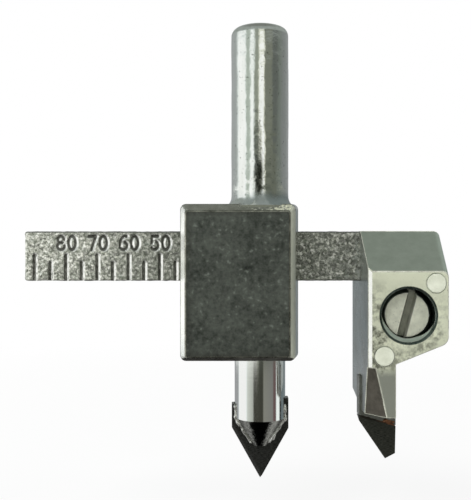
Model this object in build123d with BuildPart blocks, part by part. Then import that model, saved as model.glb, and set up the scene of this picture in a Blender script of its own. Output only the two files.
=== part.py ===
from build123d import *
import os

# Adjustable circle cutter for wall tile, driven by a drill.
# A die-cast block with its round shank carries the centring pilot and a graduated arm.
# The arm's head clamps a flat carbide-tipped cutter that hangs parallel to the spindle.
# Millimetres. +X points from the spindle to the cutter, +Y away from the scale side, +Z up.
# The origin is on the spindle's axis, halfway along the plain grip of the shank.

# Fits and construction
slide_gap = 0.08            # each side of a piece that slides and is then clamped
screw_gap = 0.06            # radial, between a screw and its tapped hole
tip_gap = 0.04              # between a screw's end and the face that it presses
braze_film = 0.15           # solder between a carbide and its steel
overrun = 1.0               # how far a cut runs past the face that it opens

# Shank, cast in one with the block
shank_diameter = 9.0
grip_length = 24.6
shank_end_round = 1.8
foot_rise = 1.3             # height of the spreading foot, from the block's top to the plain grip
foot_flare = 0.75           # how far the foot spreads
foot_front = 0.1            # how far it stands out at the front, where it is flat

# Block
block_left = 12.45          # from the spindle's axis to the left side, at the parting plane
block_right = 6.05
block_height = 24.4
block_front = 5.2           # from the spindle's axis to the front face
block_back = 13.5
block_corner = 0.9
front_corner = 0.35
back_bevel = 0.6
left_inset = 0.11           # how far each side leans in from the parting plane to the bevel
right_inset = 0.72
top_inset = 0.19
bottom_inset = 0.16
bevel_depth = 1.2           # the bevel round the front face, along Y
left_bevel = 0.82           # and across each side
right_bevel = 0.92
top_bevel = 1.11
bottom_bevel = 0.67
socket_roof = 1.1           # wall between the arm's channel and the pilot's socket

# Arm and its scale
arm_height = 8.0
arm_depth = 8.0
arm_drop = 4.22             # from the block's top to the arm's top
arm_setback = 1.0           # from the spindle's axis to the arm's front face
arm_left = 37.6             # from the spindle's axis to the arm's free end
arm_edge_round = 0.25
mark_zero = 8.94            # where the scale's zero would lie, along X
smallest_diameter = 30.0    # diameters that the scale covers
largest_diameter = 90.0
mark_step = 10.0            # diameter from one long mark to the next
mark_width = 0.62
mark_depth = 0.35
long_mark = 4.39            # up from the arm's lower edge
short_mark = 3.18

# Head and leg, cast in one with the arm
head_left = 16.05           # from the spindle's axis to the left side of the head and leg
head_width = 12.65
head_front = 6.0            # from the spindle's axis to the head's front face
head_left_inset = 0.13      # how far each side leans in from the parting plane to the front face
head_right_inset = 0.45
head_fall = 6.26            # how far the head's top falls from the arm's face to the front face
head_corner = 1.0
head_height = 17.28         # from the arm's top to the lower right corner
head_slant = 3.2            # the slanted underside's fall from there to the leg
slant_inset = 0.2
head_edge_round = 0.35
leg_width = 4.7
leg_right_inset = 0.45
leg_length = 7.9            # below the slanted underside
rear_foot_rise = 0.6        # the rear prong is shorter, and its foot rises to the back
rear_foot_slope = 1.3
relief_length = 7.5         # the slanting relief on the leg's outer edge, up from its foot
relief_top_width = 1.3
relief_foot_width = 2.95
relief_top_depth = 1.4
relief_foot_depth = 3.4
relief_run_share = 0.3      # how far the relief's cut is run out past the leg's two faces
pin_mark_radius = 1.43      # ejector pin marks on the head's face
pin_mark_rise = 0.12
pin_mark_ring = 0.12
pin_mark_sink = 0.08
upper_mark_reach = 10.31    # from the head's left side
upper_mark_drop = 8.02      # from the arm's top
lower_mark_reach = 2.49
lower_mark_drop = 19.04

# Cutter: a flag-shaped steel blade with a carbide tip brazed to its foot
blade_thickness = 2.0
blade_inset = 1.15          # upper part, inside the head, from the head's left side
blade_width = 9.0
blade_drop = 1.38           # from the arm's underside to the blade's top
flag_rise = 0.1             # lower edge of the upper part, over the head's lower right corner
flag_slant = 1.9
shoulder_rise = 5.4         # from the leg's foot up to the shoulder of the lower part
foot_overhang = 0.4         # how far the lower part stands out past the leg on the left
foot_width = 5.85
seam_drop = 0.8             # left end of the seam, below the leg's foot
seam_slant = 1.6
seam_bead = 0.22
tip_side = 0.8              # left side of the tip, from the seam to its corner
tip_length = 6.08           # from that corner down to the point
tip_reach = 4.15            # from the left side across to the point
tip_relief = 0.6
heel_rise = 0.83
heel_inset = 0.1

# Pilot: a round steel rod slotted for a spear-pointed carbide plate
pilot_diameter = 8.0
pilot_end_chamfer = 0.5
pilot_reach = 9.2           # from the block's underside to the cone
cone_length = 4.4
cone_end_radius = 1.35
plate_width = 8.9
plate_thickness = 2.0
plate_bury = 3.1            # how far the plate reaches up past the cone's start
plate_straight = 4.7
plate_taper = 7.93
plate_relief = 0.5
bead_start = 0.7            # from the plate's top down to the solder's beads
bead_radius = 0.32
bead_bend = 1.2
pilot_flat = 0.6            # depth of the flat that the clamping screw presses
pilot_flat_margin = 0.6     # and how far it runs below the screw

# Slotted grub screws
head_screw_diameter = 8.0
head_screw_reach = 6.15     # from the head's left side
head_screw_drop = 12.91     # from the arm's top
head_screw_sink = 1.2
head_screw_slot = 1.25
head_screw_slot_depth = 1.6
head_screw_lean = 15.0
block_screw_diameter = 6.0
block_screw_sink = 0.6
block_screw_slot = 1.0
block_screw_slot_depth = 1.4
arm_screw_lean = 70.0
pilot_screw_lean = 35.0
screw_chamfer = 0.75
hole_chamfer = 0.15

# Places on the block, worked out from the sizes above
shank_radius = shank_diameter / 2
grip_top = grip_length / 2
block_top = -grip_top - foot_rise
block_bottom = block_top - block_height
block_center = (block_right - block_left) / 2
bevel_start = block_front - bevel_depth
arm_top = block_top - arm_drop
arm_bottom = arm_top - arm_height
arm_middle = (arm_top + arm_bottom) / 2
arm_back = arm_setback + arm_depth
arm_center = (arm_setback + arm_back) / 2
socket_end = arm_bottom - slide_gap - socket_roof
socket_middle = (socket_end + block_bottom) / 2

# Places on the head and the cutter
rake_plane = 0
blade_back = rake_plane + blade_thickness
head_right = head_left + head_width
head_low = arm_top - head_height
leg_right = head_left + leg_width
elbow = head_low - head_slant
leg_foot = elbow - leg_length
blade_left = head_left + blade_inset
blade_right = blade_left + blade_width
blade_top = arm_bottom - blade_drop
flag_low = head_low + flag_rise
shoulder = leg_foot + shoulder_rise
foot_left = head_left - foot_overhang
foot_right = foot_left + foot_width
seam_left = leg_foot - seam_drop
seam_right = seam_left - seam_slant
tip_corner = seam_left - tip_side
tip_point = tip_corner - tip_length

# Places on the pilot and the screws
pilot_radius = pilot_diameter / 2
pilot_top = socket_end - slide_gap
pilot_seat = pilot_radius - pilot_flat
cone_top = block_bottom - pilot_reach
cone_foot = cone_top - cone_length
plate_half = plate_thickness / 2
plate_top = cone_top + plate_bury
plate_shoulder = plate_top - plate_straight
plate_point = plate_shoulder - plate_taper
block_screw_radius = block_screw_diameter / 2
head_screw_radius = head_screw_diameter / 2
head_screw_x = head_left + head_screw_reach
head_screw_z = arm_top - head_screw_drop


def shank_profile():
    # Half of the shank's turned outline, from inside the block to its rounded end
    root = block_top - top_inset - top_bevel
    foot_radius = shank_radius + foot_flare
    end_radius = shank_radius - shank_end_round
    end = grip_top + shank_end_round
    with BuildLine() as outline:
        Polyline((end_radius, end), (0, end), (0, root), (foot_radius, root), (foot_radius, block_top))
        TangentArc((shank_radius, -grip_top), (foot_radius, block_top), tangent=(0, -1))
        Line((shank_radius, -grip_top), (shank_radius, grip_top))
        TangentArc((shank_radius, grip_top), (end_radius, end), tangent=(0, 1))
    make_face(outline.edges())


def block_outline(left_lean, right_lean, top_lean, bottom_lean, corner):
    # The block's rounded outline, drawn in on each side
    left = -block_left + left_lean
    right = block_right - right_lean
    top = block_top - top_lean
    bottom = block_bottom + bottom_lean
    with Locations(((left + right) / 2, (top + bottom) / 2)):
        RectangleRounded(right - left, top - bottom, corner)


def head_outline(left_lean, right_lean, top_lean, leg_lean, slant_lean):
    # The head and leg seen from the front, with the two right-hand corners rounded
    left = head_left + left_lean
    right = head_right - right_lean
    inner = leg_right - leg_lean
    top = arm_top - top_lean
    corner = head_low + slant_lean
    crotch = elbow + slant_lean
    with BuildLine() as outline:
        Polyline((inner, crotch), (inner, leg_foot), (left, leg_foot), (left, top), (right - head_corner, top))
        RadiusArc((right - head_corner, top), (right, top - head_corner), head_corner)
        side = Line((right, top - head_corner), (right, corner + head_corner))
        lower = Line((right, corner), (inner, crotch), mode=Mode.PRIVATE)
        start = lower @ (head_corner / lower.length)
        TangentArc(side @ 1, start, tangent=side % 1)
        Line(start, (inner, crotch))
    make_face(outline.edges())


def grub_screw(diameter, length, slot_width, slot_depth, lean):
    # A slotted headless screw standing on its flat end; the slot leans clockwise from the plane's Y
    Cylinder(diameter / 2, length, align=(Align.CENTER, Align.CENTER, Align.MIN))
    chamfer(edges().filter_by(GeomType.CIRCLE), screw_chamfer)
    with Locations((0, 0, length)):
        Box(slot_width, diameter + overrun, slot_depth * 2, rotation=(0, 0, -lean), mode=Mode.SUBTRACT)


def relief_section(width, depth):
    # A triangle over the leg's outer front corner, run out past both faces
    far_x = head_left + width * (1 + relief_run_share)
    far_y = -head_front - depth * relief_run_share
    near_x = head_left - width * relief_run_share
    near_y = -head_front + depth * (1 + relief_run_share)
    Polygon((far_x, far_y), (near_x, near_y), (head_left - overrun, -head_front - overrun), align=None)


def pilot_profile():
    # Half of the pilot's turned outline
    with BuildLine() as outline:
        Polyline(
            (0, pilot_top),
            (pilot_radius - pilot_end_chamfer, pilot_top),
            (pilot_radius, pilot_top - pilot_end_chamfer),
            (pilot_radius, cone_top),
            (cone_end_radius, cone_foot),
            (0, cone_foot),
            close=True,
        )
    make_face(outline.edges())


def plate_slot():
    # The pilot's slot for its carbide plate, seen from the front, open at the foot
    top = plate_top + braze_film
    with Locations((0, (top + cone_foot) / 2)):
        Rectangle(pilot_diameter + overrun, top - cone_foot)


# Block with its shank
with BuildPart() as body_casting:
    # Over the front bevel the shank's spreading foot ends in a flat
    with BuildSketch(Plane.XZ):
        shank_profile()
    revolve(axis=Axis.Z)
    split(bisect_by=Plane.XZ.offset(shank_radius + foot_front), keep=Keep.BOTTOM)
    with BuildSketch(Plane.XZ):
        block_outline(0, 0, 0, 0, block_corner)
    with BuildSketch(Plane.XZ.offset(bevel_start)):
        block_outline(left_inset, right_inset, top_inset, bottom_inset, block_corner)
    with BuildSketch(Plane.XZ.offset(block_front)):
        block_outline(
            left_inset + left_bevel,
            right_inset + right_bevel,
            top_inset + top_bevel,
            bottom_inset + bottom_bevel,
            front_corner,
        )
    loft(ruled=True)
    with BuildSketch(Plane.XZ):
        block_outline(0, 0, 0, 0, block_corner)
    extrude(amount=-block_back)
    chamfer(edges().group_by(Axis.Y)[-1], back_bevel)
    # Channel for the arm
    with BuildSketch(Plane.YZ.offset(-block_left)):
        with Locations((arm_center, arm_middle)):
            Rectangle(arm_depth + slide_gap * 2, arm_height + slide_gap * 2)
    extrude(amount=block_left + block_right, mode=Mode.SUBTRACT)
    # Socket for the pilot
    with BuildSketch(Plane.XY.offset(block_bottom)):
        Circle(pilot_radius + slide_gap)
    extrude(amount=socket_end - block_bottom, mode=Mode.SUBTRACT)
    # Tapped holes in the back, one to the arm and one to the pilot
    with BuildSketch(Plane.XZ.offset(-block_back)):
        with Locations((block_center, arm_middle)):
            Circle(block_screw_radius + screw_gap)
    extrude(amount=block_back - arm_back, mode=Mode.SUBTRACT)
    chamfer(edges(Select.LAST).filter_by(GeomType.CIRCLE).sort_by(Axis.Y)[-1], hole_chamfer)
    with BuildSketch(Plane.XZ.offset(-block_back)):
        with Locations((0, socket_middle)):
            Circle(block_screw_radius + screw_gap)
    extrude(amount=block_back, mode=Mode.SUBTRACT)
    chamfer(edges(Select.LAST).filter_by(GeomType.CIRCLE).sort_by(Axis.Y)[-1], hole_chamfer)
body_casting.part.label = "body_casting"


# Arm, head and leg, one casting
with BuildPart() as arm_casting:
    with BuildSketch(Plane.YZ.offset(-arm_left)):
        with Locations((arm_center, arm_middle)):
            RectangleRounded(arm_depth, arm_height, arm_edge_round)
    extrude(amount=arm_left + head_left)
    chamfer(edges().group_by(Axis.X)[0], arm_edge_round)
    # Marks of the scale, a long one at each step and a short one halfway
    half_step = mark_step / 2
    marks = round((largest_diameter - smallest_diameter) / half_step)
    for index in range(marks + 1):
        mark_x = mark_zero - (smallest_diameter + index * half_step) / 2
        mark_height = short_mark if index % 2 else long_mark
        mark_top = arm_bottom + mark_height - mark_width / 2
        with BuildSketch(Plane.XZ.offset(-arm_setback)):
            with Locations((mark_x, mark_top)):
                Circle(mark_width / 2)
            with Locations((mark_x, arm_bottom)):
                Rectangle(mark_width, (mark_top - arm_bottom) * 2)
        extrude(amount=-mark_depth, mode=Mode.SUBTRACT)
    # Head and leg, from the parting plane at the arm's face to the front, then to the back
    with BuildSketch(Plane.XZ.offset(-arm_setback)):
        head_outline(0, 0, 0, 0, 0)
    with BuildSketch(Plane.XZ.offset(head_front)):
        head_outline(head_left_inset, head_right_inset, head_fall, leg_right_inset, slant_inset)
    loft(ruled=True)
    with BuildSketch(Plane.XZ.offset(-arm_setback)):
        head_outline(0, 0, 0, 0, 0)
    extrude(amount=-arm_depth)
    front_corner_edge = edges().filter_by(Axis.Z).group_by(Axis.Y)[0].sort_by(Axis.X)[0]
    fillet(front_corner_edge, head_edge_round)
    # The rear prong's foot
    rear_foot = leg_foot + rear_foot_rise
    slot_middle = rake_plane + blade_thickness / 2
    with BuildSketch(Plane.YZ.offset(head_left - overrun)):
        Polygon(
            (slot_middle, leg_foot - overrun),
            (arm_back + overrun, leg_foot - overrun),
            (arm_back + overrun, rear_foot + rear_foot_slope),
            (arm_back, rear_foot + rear_foot_slope),
            (blade_back, rear_foot),
            (slot_middle, rear_foot),
            align=None,
        )
    extrude(amount=leg_width + overrun * 2, mode=Mode.SUBTRACT)
    # Slot for the blade: closed on the left down to the blade's shoulder, open below it
    slot_left = blade_left - slide_gap
    slot_right = blade_right + slide_gap
    slot_top = blade_top + slide_gap
    slot_foot = leg_foot - overrun
    side_top = shoulder + slide_gap
    side_left = head_left - overrun
    with BuildSketch(Plane.XZ.offset(-blade_back - slide_gap)):
        with Locations(((slot_left + slot_right) / 2, (slot_top + slot_foot) / 2)):
            Rectangle(slot_right - slot_left, slot_top - slot_foot)
        with Locations(((side_left + blade_left) / 2, (side_top + slot_foot) / 2)):
            Rectangle(blade_left - side_left, side_top - slot_foot)
    extrude(amount=blade_thickness + slide_gap * 2, mode=Mode.SUBTRACT)
    # Slanting relief on the leg's outer edge
    with BuildSketch(Plane.XY.offset(leg_foot + relief_length)):
        relief_section(relief_top_width, relief_top_depth)
    with BuildSketch(Plane.XY.offset(leg_foot)):
        relief_section(relief_foot_width, relief_foot_depth)
    loft(mode=Mode.SUBTRACT)
    # Tapped hole for the clamping screw
    with BuildSketch(Plane.XZ.offset(head_front)):
        with Locations((head_screw_x, head_screw_z)):
            Circle(head_screw_radius + screw_gap)
    extrude(amount=-head_front, mode=Mode.SUBTRACT)
    chamfer(edges(Select.LAST).filter_by(GeomType.CIRCLE).sort_by(Axis.Y)[0], hole_chamfer)
    # Ejector pin marks: a fine sunk ring round a disc that stands slightly proud
    for reach, drop in ((upper_mark_reach, upper_mark_drop), (lower_mark_reach, lower_mark_drop)):
        place = (head_left + reach, arm_top - drop)
        with BuildSketch(Plane.XZ.offset(head_front)):
            with Locations(place):
                Circle(pin_mark_radius + pin_mark_ring)
                Circle(pin_mark_radius, mode=Mode.SUBTRACT)
        extrude(amount=-pin_mark_sink, mode=Mode.SUBTRACT)
        with BuildSketch(Plane.XZ.offset(head_front)):
            with Locations(place):
                Circle(pin_mark_radius)
        extrude(amount=pin_mark_rise)
arm_casting.part.label = "arm_casting"


# Steel blade of the cutter
with BuildPart() as cutter_blade:
    with BuildSketch(Plane.XZ.offset(-blade_back)):
        Polygon(
            (blade_left, blade_top),
            (blade_right, blade_top),
            (blade_right, flag_low),
            (foot_right, flag_low - flag_slant),
            (foot_right, seam_right),
            (foot_left, seam_left),
            (foot_left, shoulder),
            (blade_left, shoulder),
            align=None,
        )
    extrude(amount=blade_thickness)
cutter_blade.part.label = "cutter_blade"


# Carbide tip of the cutter, relieved behind its rake face
with BuildPart() as cutter_carbide_tip:
    for depth, rise in ((rake_plane, 0), (blade_back, tip_relief)):
        with BuildSketch(Plane.XZ.offset(-depth)):
            Polygon(
                (foot_left, seam_left - braze_film),
                (foot_left, tip_corner + rise),
                (foot_left + tip_reach, tip_point + rise),
                (foot_right - heel_inset, tip_point + heel_rise + rise),
                (foot_right, seam_right - braze_film),
                align=None,
            )
    loft(ruled=True)
cutter_carbide_tip.part.label = "cutter_carbide_tip"


# Solder between the blade and its tip, with a bead along the front of the seam
with BuildPart() as cutter_braze:
    with BuildSketch(Plane.XZ.offset(-blade_back)):
        Polygon(
            (foot_left, seam_left),
            (foot_left, seam_left - braze_film),
            (foot_right, seam_right - braze_film),
            (foot_right, seam_right),
            align=None,
        )
    extrude(amount=blade_thickness)
    film_middle = braze_film / 2
    with BuildLine():
        seam = Line(
            (foot_left, rake_plane, seam_left - film_middle),
            (foot_right, rake_plane, seam_right - film_middle),
        )
    with BuildSketch(Plane(origin=seam @ 0, z_dir=seam % 0)):
        Circle(seam_bead)
    sweep()
    add(cutter_blade.part, mode=Mode.SUBTRACT)
    add(cutter_carbide_tip.part, mode=Mode.SUBTRACT)
cutter_braze.part.label = "cutter_braze"


# Pilot rod, with a slot for its carbide plate and a flat for its clamping screw
with BuildPart() as pilot_rod:
    with BuildSketch(Plane.XZ):
        pilot_profile()
    revolve(axis=Axis.Z)
    with BuildSketch(Plane.XZ.offset(-plate_half - braze_film)):
        plate_slot()
    extrude(amount=plate_thickness + braze_film * 2, mode=Mode.SUBTRACT)
    flat_foot = socket_middle - block_screw_radius - pilot_flat_margin
    with BuildSketch(Plane.XY.offset(flat_foot)):
        with Locations((0, pilot_seat)):
            Rectangle(pilot_diameter, pilot_flat + overrun, align=(Align.CENTER, Align.MIN))
    extrude(amount=pilot_top - flat_foot, mode=Mode.SUBTRACT)
pilot_rod.part.label = "pilot_rod"


# Spear-pointed carbide plate, each flank relieved on its trailing side
with BuildPart() as pilot_carbide_tip:
    with BuildSketch(Plane.XZ.offset(-plate_half)):
        Polygon(
            (-plate_width / 2, plate_top),
            (-plate_width / 2, plate_shoulder),
            (0, plate_point),
            (plate_width / 2, plate_shoulder),
            (plate_width / 2, plate_top),
            align=None,
        )
    extrude(amount=plate_thickness)
    flanks = edges().filter_by_position(Axis.Z, plate_point, plate_shoulder)
    left_flank = flanks.group_by(Axis.Y)[0].filter_by_position(Axis.X, -plate_width, -overrun)
    right_flank = flanks.group_by(Axis.Y)[-1].filter_by_position(Axis.X, overrun, plate_width)
    chamfer(left_flank + right_flank, plate_relief)
pilot_carbide_tip.part.label = "pilot_carbide_tip"


# Solder round the plate: a film in the slot and a bead along each edge of the rod
with BuildPart() as pilot_braze:
    with BuildSketch(Plane.XZ.offset(-plate_half - braze_film)):
        plate_slot()
    extrude(amount=plate_thickness + braze_film * 2)
    with BuildSketch(Plane.XZ):
        pilot_profile()
    revolve(axis=Axis.Z, mode=Mode.INTERSECT)
    bead_reach = (pilot_radius**2 - plate_half**2) ** 0.5
    bead_end = (cone_end_radius**2 - plate_half**2) ** 0.5
    for side in (-1, 1):
        for face in (-1, 1):
            with BuildLine():
                bead = FilletPolyline(
                    (side * bead_reach, face * plate_half, plate_top - bead_start),
                    (side * bead_reach, face * plate_half, cone_top),
                    (side * bead_end, face * plate_half, cone_foot),
                    radius=bead_bend,
                )
            with BuildSketch(Plane(origin=bead @ 0, z_dir=bead % 0)):
                Circle(bead_radius)
            sweep()
    add(pilot_rod.part, mode=Mode.SUBTRACT)
    add(pilot_carbide_tip.part, mode=Mode.SUBTRACT)
pilot_braze.part.label = "pilot_braze"


# Clamping screws, each standing on the face that it presses
with BuildPart(
    Plane(origin=(head_screw_x, rake_plane - tip_gap, head_screw_z), x_dir=(1, 0, 0), z_dir=(0, -1, 0))
) as cutter_clamp_screw:
    screw_length = head_front - head_screw_sink - tip_gap
    grub_screw(head_screw_diameter, screw_length, head_screw_slot, head_screw_slot_depth, head_screw_lean)
cutter_clamp_screw.part.label = "cutter_clamp_screw"

with BuildPart(
    Plane(origin=(block_center, arm_back + tip_gap, arm_middle), x_dir=(-1, 0, 0), z_dir=(0, 1, 0))
) as arm_clamp_screw:
    screw_length = block_back - block_screw_sink - arm_back - tip_gap
    grub_screw(block_screw_diameter, screw_length, block_screw_slot, block_screw_slot_depth, arm_screw_lean)
arm_clamp_screw.part.label = "arm_clamp_screw"

with BuildPart(
    Plane(origin=(0, pilot_seat + tip_gap, socket_middle), x_dir=(-1, 0, 0), z_dir=(0, 1, 0))
) as pilot_clamp_screw:
    screw_length = block_back - block_screw_sink - pilot_seat - tip_gap
    grub_screw(block_screw_diameter, screw_length, block_screw_slot, block_screw_slot_depth, pilot_screw_lean)
pilot_clamp_screw.part.label = "pilot_clamp_screw"


os.makedirs("parts", exist_ok=True)
pieces = (
    body_casting,
    arm_casting,
    arm_clamp_screw,
    pilot_rod,
    pilot_carbide_tip,
    pilot_braze,
    pilot_clamp_screw,
    cutter_blade,
    cutter_carbide_tip,
    cutter_braze,
    cutter_clamp_screw,
)
for piece in pieces:
    export_step(piece.part, f"parts/{piece.part.label}.step")
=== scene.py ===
import math

import bmesh
import bpy
import numpy as np
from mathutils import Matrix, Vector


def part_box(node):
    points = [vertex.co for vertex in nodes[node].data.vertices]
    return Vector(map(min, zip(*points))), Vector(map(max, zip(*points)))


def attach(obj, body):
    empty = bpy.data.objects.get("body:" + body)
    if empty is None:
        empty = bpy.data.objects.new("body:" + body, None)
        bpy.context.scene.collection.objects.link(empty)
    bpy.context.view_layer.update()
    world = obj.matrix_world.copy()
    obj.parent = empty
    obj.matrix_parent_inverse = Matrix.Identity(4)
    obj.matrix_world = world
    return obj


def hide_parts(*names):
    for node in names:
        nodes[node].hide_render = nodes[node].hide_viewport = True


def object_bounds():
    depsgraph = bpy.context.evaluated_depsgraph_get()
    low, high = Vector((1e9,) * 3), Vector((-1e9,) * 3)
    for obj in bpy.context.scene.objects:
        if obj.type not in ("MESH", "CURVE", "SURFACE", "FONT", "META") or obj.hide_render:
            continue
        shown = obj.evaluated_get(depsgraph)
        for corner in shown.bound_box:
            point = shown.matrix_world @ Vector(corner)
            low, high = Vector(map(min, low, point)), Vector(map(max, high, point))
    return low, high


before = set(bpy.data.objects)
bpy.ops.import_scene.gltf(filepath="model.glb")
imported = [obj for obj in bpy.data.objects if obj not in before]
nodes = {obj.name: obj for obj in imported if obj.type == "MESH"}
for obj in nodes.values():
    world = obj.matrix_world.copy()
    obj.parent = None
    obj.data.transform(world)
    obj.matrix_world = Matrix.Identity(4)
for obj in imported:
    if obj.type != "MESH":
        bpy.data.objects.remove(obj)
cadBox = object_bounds()
mm = 0.001
print("circle cutter: frame loaded with", len(nodes), "nodes")


def addObject(name, data):
    # an object linked to the scene
    thing = bpy.data.objects.new(name, data)
    bpy.context.scene.collection.objects.link(thing)
    return thing


# Camera: level, straight at the scale side, with its height and sideways place read from the photograph

view = {
    "place": (-3.87, -119.0, -20.85),  # mm
    "lens": 54.09,
    "sensor": 36.0,
    "nearest": 10.0,
    "furthest": 20000.0,
}


def setCamera():
    # turned a quarter turn about X, a camera looks along +Y with Z up
    lensData = bpy.data.cameras.new("viewLens")
    lensData.lens = view["lens"]
    lensData.sensor_width = view["sensor"]
    lensData.clip_start = view["nearest"] * mm
    lensData.clip_end = view["furthest"] * mm
    eye = addObject("viewCamera", lensData)
    eye.location = [c * mm for c in view["place"]]
    eye.rotation_euler = (math.pi / 2, 0, 0)
    bpy.context.scene.camera = eye
    bpy.context.scene.view_settings.view_transform = "Standard"


setCamera()
print("camera set")


# Small tools for node trees; wherever a number or a colour may stand, a socket may stand too

def feed(socket, value):
    # links a socket to an input, or sets the input's own value
    if isinstance(value, bpy.types.NodeSocket):
        socket.id_data.links.new(value, socket)
    elif value is not None:
        socket.default_value = (*value, 1) if socket.type == "RGBA" else value


def addNode(tree, kind, **settings):
    # a node whose settings are its own properties, or what feeds its inputs
    node = tree.nodes.new(kind)
    for name, value in settings.items():
        if name in node.inputs:
            feed(node.inputs[name], value)
        else:
            setattr(node, name, value)
    return node


def treeOf(*values):
    # the node tree of the first socket among the values
    return next(value.id_data for value in values if isinstance(value, bpy.types.NodeSocket))


def feedAll(node, *values):
    # feeds a node's inputs in their order, passing over those whose value is None
    for socket, value in zip(node.inputs, values):
        feed(socket, value)
    return node.outputs


def maths(operation, a, b=None, c=None, clamp=False):
    # one Math node
    node = addNode(treeOf(a, b, c), "ShaderNodeMath", operation=operation, use_clamp=clamp)
    return feedAll(node, a, b, c)[0]


def vectorMaths(operation, a, b=None, scale=None):
    # one Vector Math node
    node = addNode(treeOf(a, b), "ShaderNodeVectorMath", operation=operation)
    return feedAll(node, a, b, None, scale)["Value" if operation in ("DOT_PRODUCT", "LENGTH") else "Vector"]


def blendColour(factor, a, b):
    # one colour Mix node; its first input is the factor, its seventh and eighth are the colours
    node = addNode(treeOf(factor, a, b), "ShaderNodeMix", data_type="RGBA")
    return feedAll(node, factor, None, None, None, None, None, a, b)[2]


def ramp(factor, stops):
    # a Color Ramp; each stop is a place and a colour
    node = addNode(treeOf(factor), "ShaderNodeValToRGB", Fac=factor)
    elements = node.color_ramp.elements
    while len(elements) < len(stops):
        elements.new(0.5)
    for element, (place, level) in zip(elements, stops):
        element.position = place
        element.color = (*level, 1)
    return node.outputs["Color"]


def remap(value, low, high, toLow, toHigh):
    # a clamped Map Range node
    return feedAll(addNode(treeOf(value), "ShaderNodeMapRange"), value, low, high, toLow, toHigh)[0]


def stretched(place, scale):
    # a place drawn out or squeezed along each axis by a Mapping node
    return addNode(treeOf(place), "ShaderNodeMapping", Vector=place, Scale=scale).outputs["Vector"]


def noise(place, **settings):
    # a Noise texture's outputs
    return addNode(treeOf(place), "ShaderNodeTexNoise", Vector=place, **settings).outputs


def newGroup(name, inputs, outputs):
    # an empty shader group with named sockets, each input as (label, kind, value)
    group = bpy.data.node_groups.new(name, "ShaderNodeTree")
    for label, kind, value in inputs:
        socket = group.interface.new_socket(label, in_out="INPUT", socket_type="NodeSocket" + kind)
        if value is not None:
            socket.default_value = value
    for label, kind in outputs:
        group.interface.new_socket(label, in_out="OUTPUT", socket_type="NodeSocket" + kind)
    start = group.nodes.new("NodeGroupInput")
    end = group.nodes.new("NodeGroupOutput")
    return group, start.outputs, end.inputs


# Surface effects shared by the finishes; Place is always in millimetres

effectWork = {
    "fineScale": 3.3,
    "waver": 0.9,                  # how far a crystal's outline is bent, in crystals
    "wearGain": 9.0, "wearEdge": 1.6,
    "cloud": (0.3, 0.7, 0, 1), "specks": (0.66, 0.78, 0, 1),
    "tones": (0.3, 0.7),           # between these the grain's tone turns smooth to rough
}


def inSizes(given):
    # the place counted in sizes: Place / Size
    return vectorMaths("SCALE", given["Place"], scale=maths("DIVIDE", 1.0, given["Size"]))


def makeGrain():
    # fine cast skin: a noise of the place over Size, plus Fine times one about three times finer
    group, given, result = newGroup(
        "castGrain",
        [("Place", "Vector", None), ("Size", "Float", 0.4), ("Fine", "Float", 0.5)],
        [("Height", "Float"), ("Tone", "Float")],
    )
    spread = inSizes(given)
    coarse = noise(spread, Scale=1.0, Detail=3.0, Roughness=0.55)["Fac"]
    fine = noise(spread, Scale=effectWork["fineScale"], Detail=2.0, Roughness=0.5)["Fac"]
    feed(result["Height"], maths("MULTIPLY_ADD", fine, given["Fine"], coarse))
    feed(result["Tone"], coarse)
    return group


def makeSpangle():
    # crystals: cells of about Size, each with its own tilt of the normal and its own random tone
    group, given, result = newGroup(
        "zincSpangle",
        [("Place", "Vector", None), ("Size", "Float", 0.35), ("Tilt", "Float", 0.3)],
        [("Normal", "Vector"), ("Tone", "Float")],
    )
    spread = inSizes(given)
    bend = vectorMaths("SCALE", noise(spread, Scale=1.3, Detail=2.0)["Color"], scale=effectWork["waver"])
    bent = vectorMaths("ADD", spread, bend)
    cells = addNode(group, "ShaderNodeTexVoronoi", Vector=bent, Scale=1.0).outputs["Color"]
    lean = vectorMaths("SCALE", vectorMaths("SUBTRACT", cells, (0.5, 0.5, 0.5)), scale=given["Tilt"])
    surface = addNode(group, "ShaderNodeNewGeometry").outputs["Normal"]
    feed(result["Normal"], vectorMaths("NORMALIZE", vectorMaths("ADD", surface, lean)))
    feed(result["Tone"], addNode(group, "ShaderNodeSeparateColor", Color=cells).outputs["Red"])
    return group


def makeEdgeWear():
    # how far a normal rounded over Width turns from the true one, with a noise that breaks it up
    group, given, result = newGroup(
        "edgeWear",
        [("Place", "Vector", None), ("Width", "Float", 0.15), ("Break", "Float", 0.6)],
        [("Mask", "Float"), ("Normal", "Vector")],
    )
    width = maths("MULTIPLY", given["Width"], mm)
    rounded = addNode(group, "ShaderNodeBevel", samples=6, Radius=width).outputs["Normal"]
    surface = addNode(group, "ShaderNodeNewGeometry").outputs["Normal"]
    turned = maths("SUBTRACT", 1.0, vectorMaths("DOT_PRODUCT", rounded, surface))
    gap = maths("MULTIPLY", noise(given["Place"], Scale=1.7, Detail=4.0)["Fac"], given["Break"])
    worn = maths("SUBTRACT", maths("MULTIPLY", turned, effectWork["wearGain"]), gap)
    feed(result["Mask"], maths("MULTIPLY", worn, effectWork["wearEdge"], clamp=True))
    feed(result["Normal"], rounded)
    return group


def makeMottle():
    # cloudy patches of about Size, and the few specks where a second noise peaks
    group, given, result = newGroup(
        "mottle",
        [("Place", "Vector", None), ("Size", "Float", 1.2), ("Speck", "Float", 0.3)],
        [("Cloud", "Float"), ("Specks", "Float")],
    )
    cloud = noise(inSizes(given), Scale=1.0, Detail=5.0, Roughness=0.62)
    dots = noise(given["Place"], Scale=maths("DIVIDE", 1.0, given["Speck"]), Detail=1.0)
    feed(result["Cloud"], remap(cloud["Fac"], *effectWork["cloud"]))
    feed(result["Specks"], remap(dots["Fac"], *effectWork["specks"]))
    return group


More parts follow.
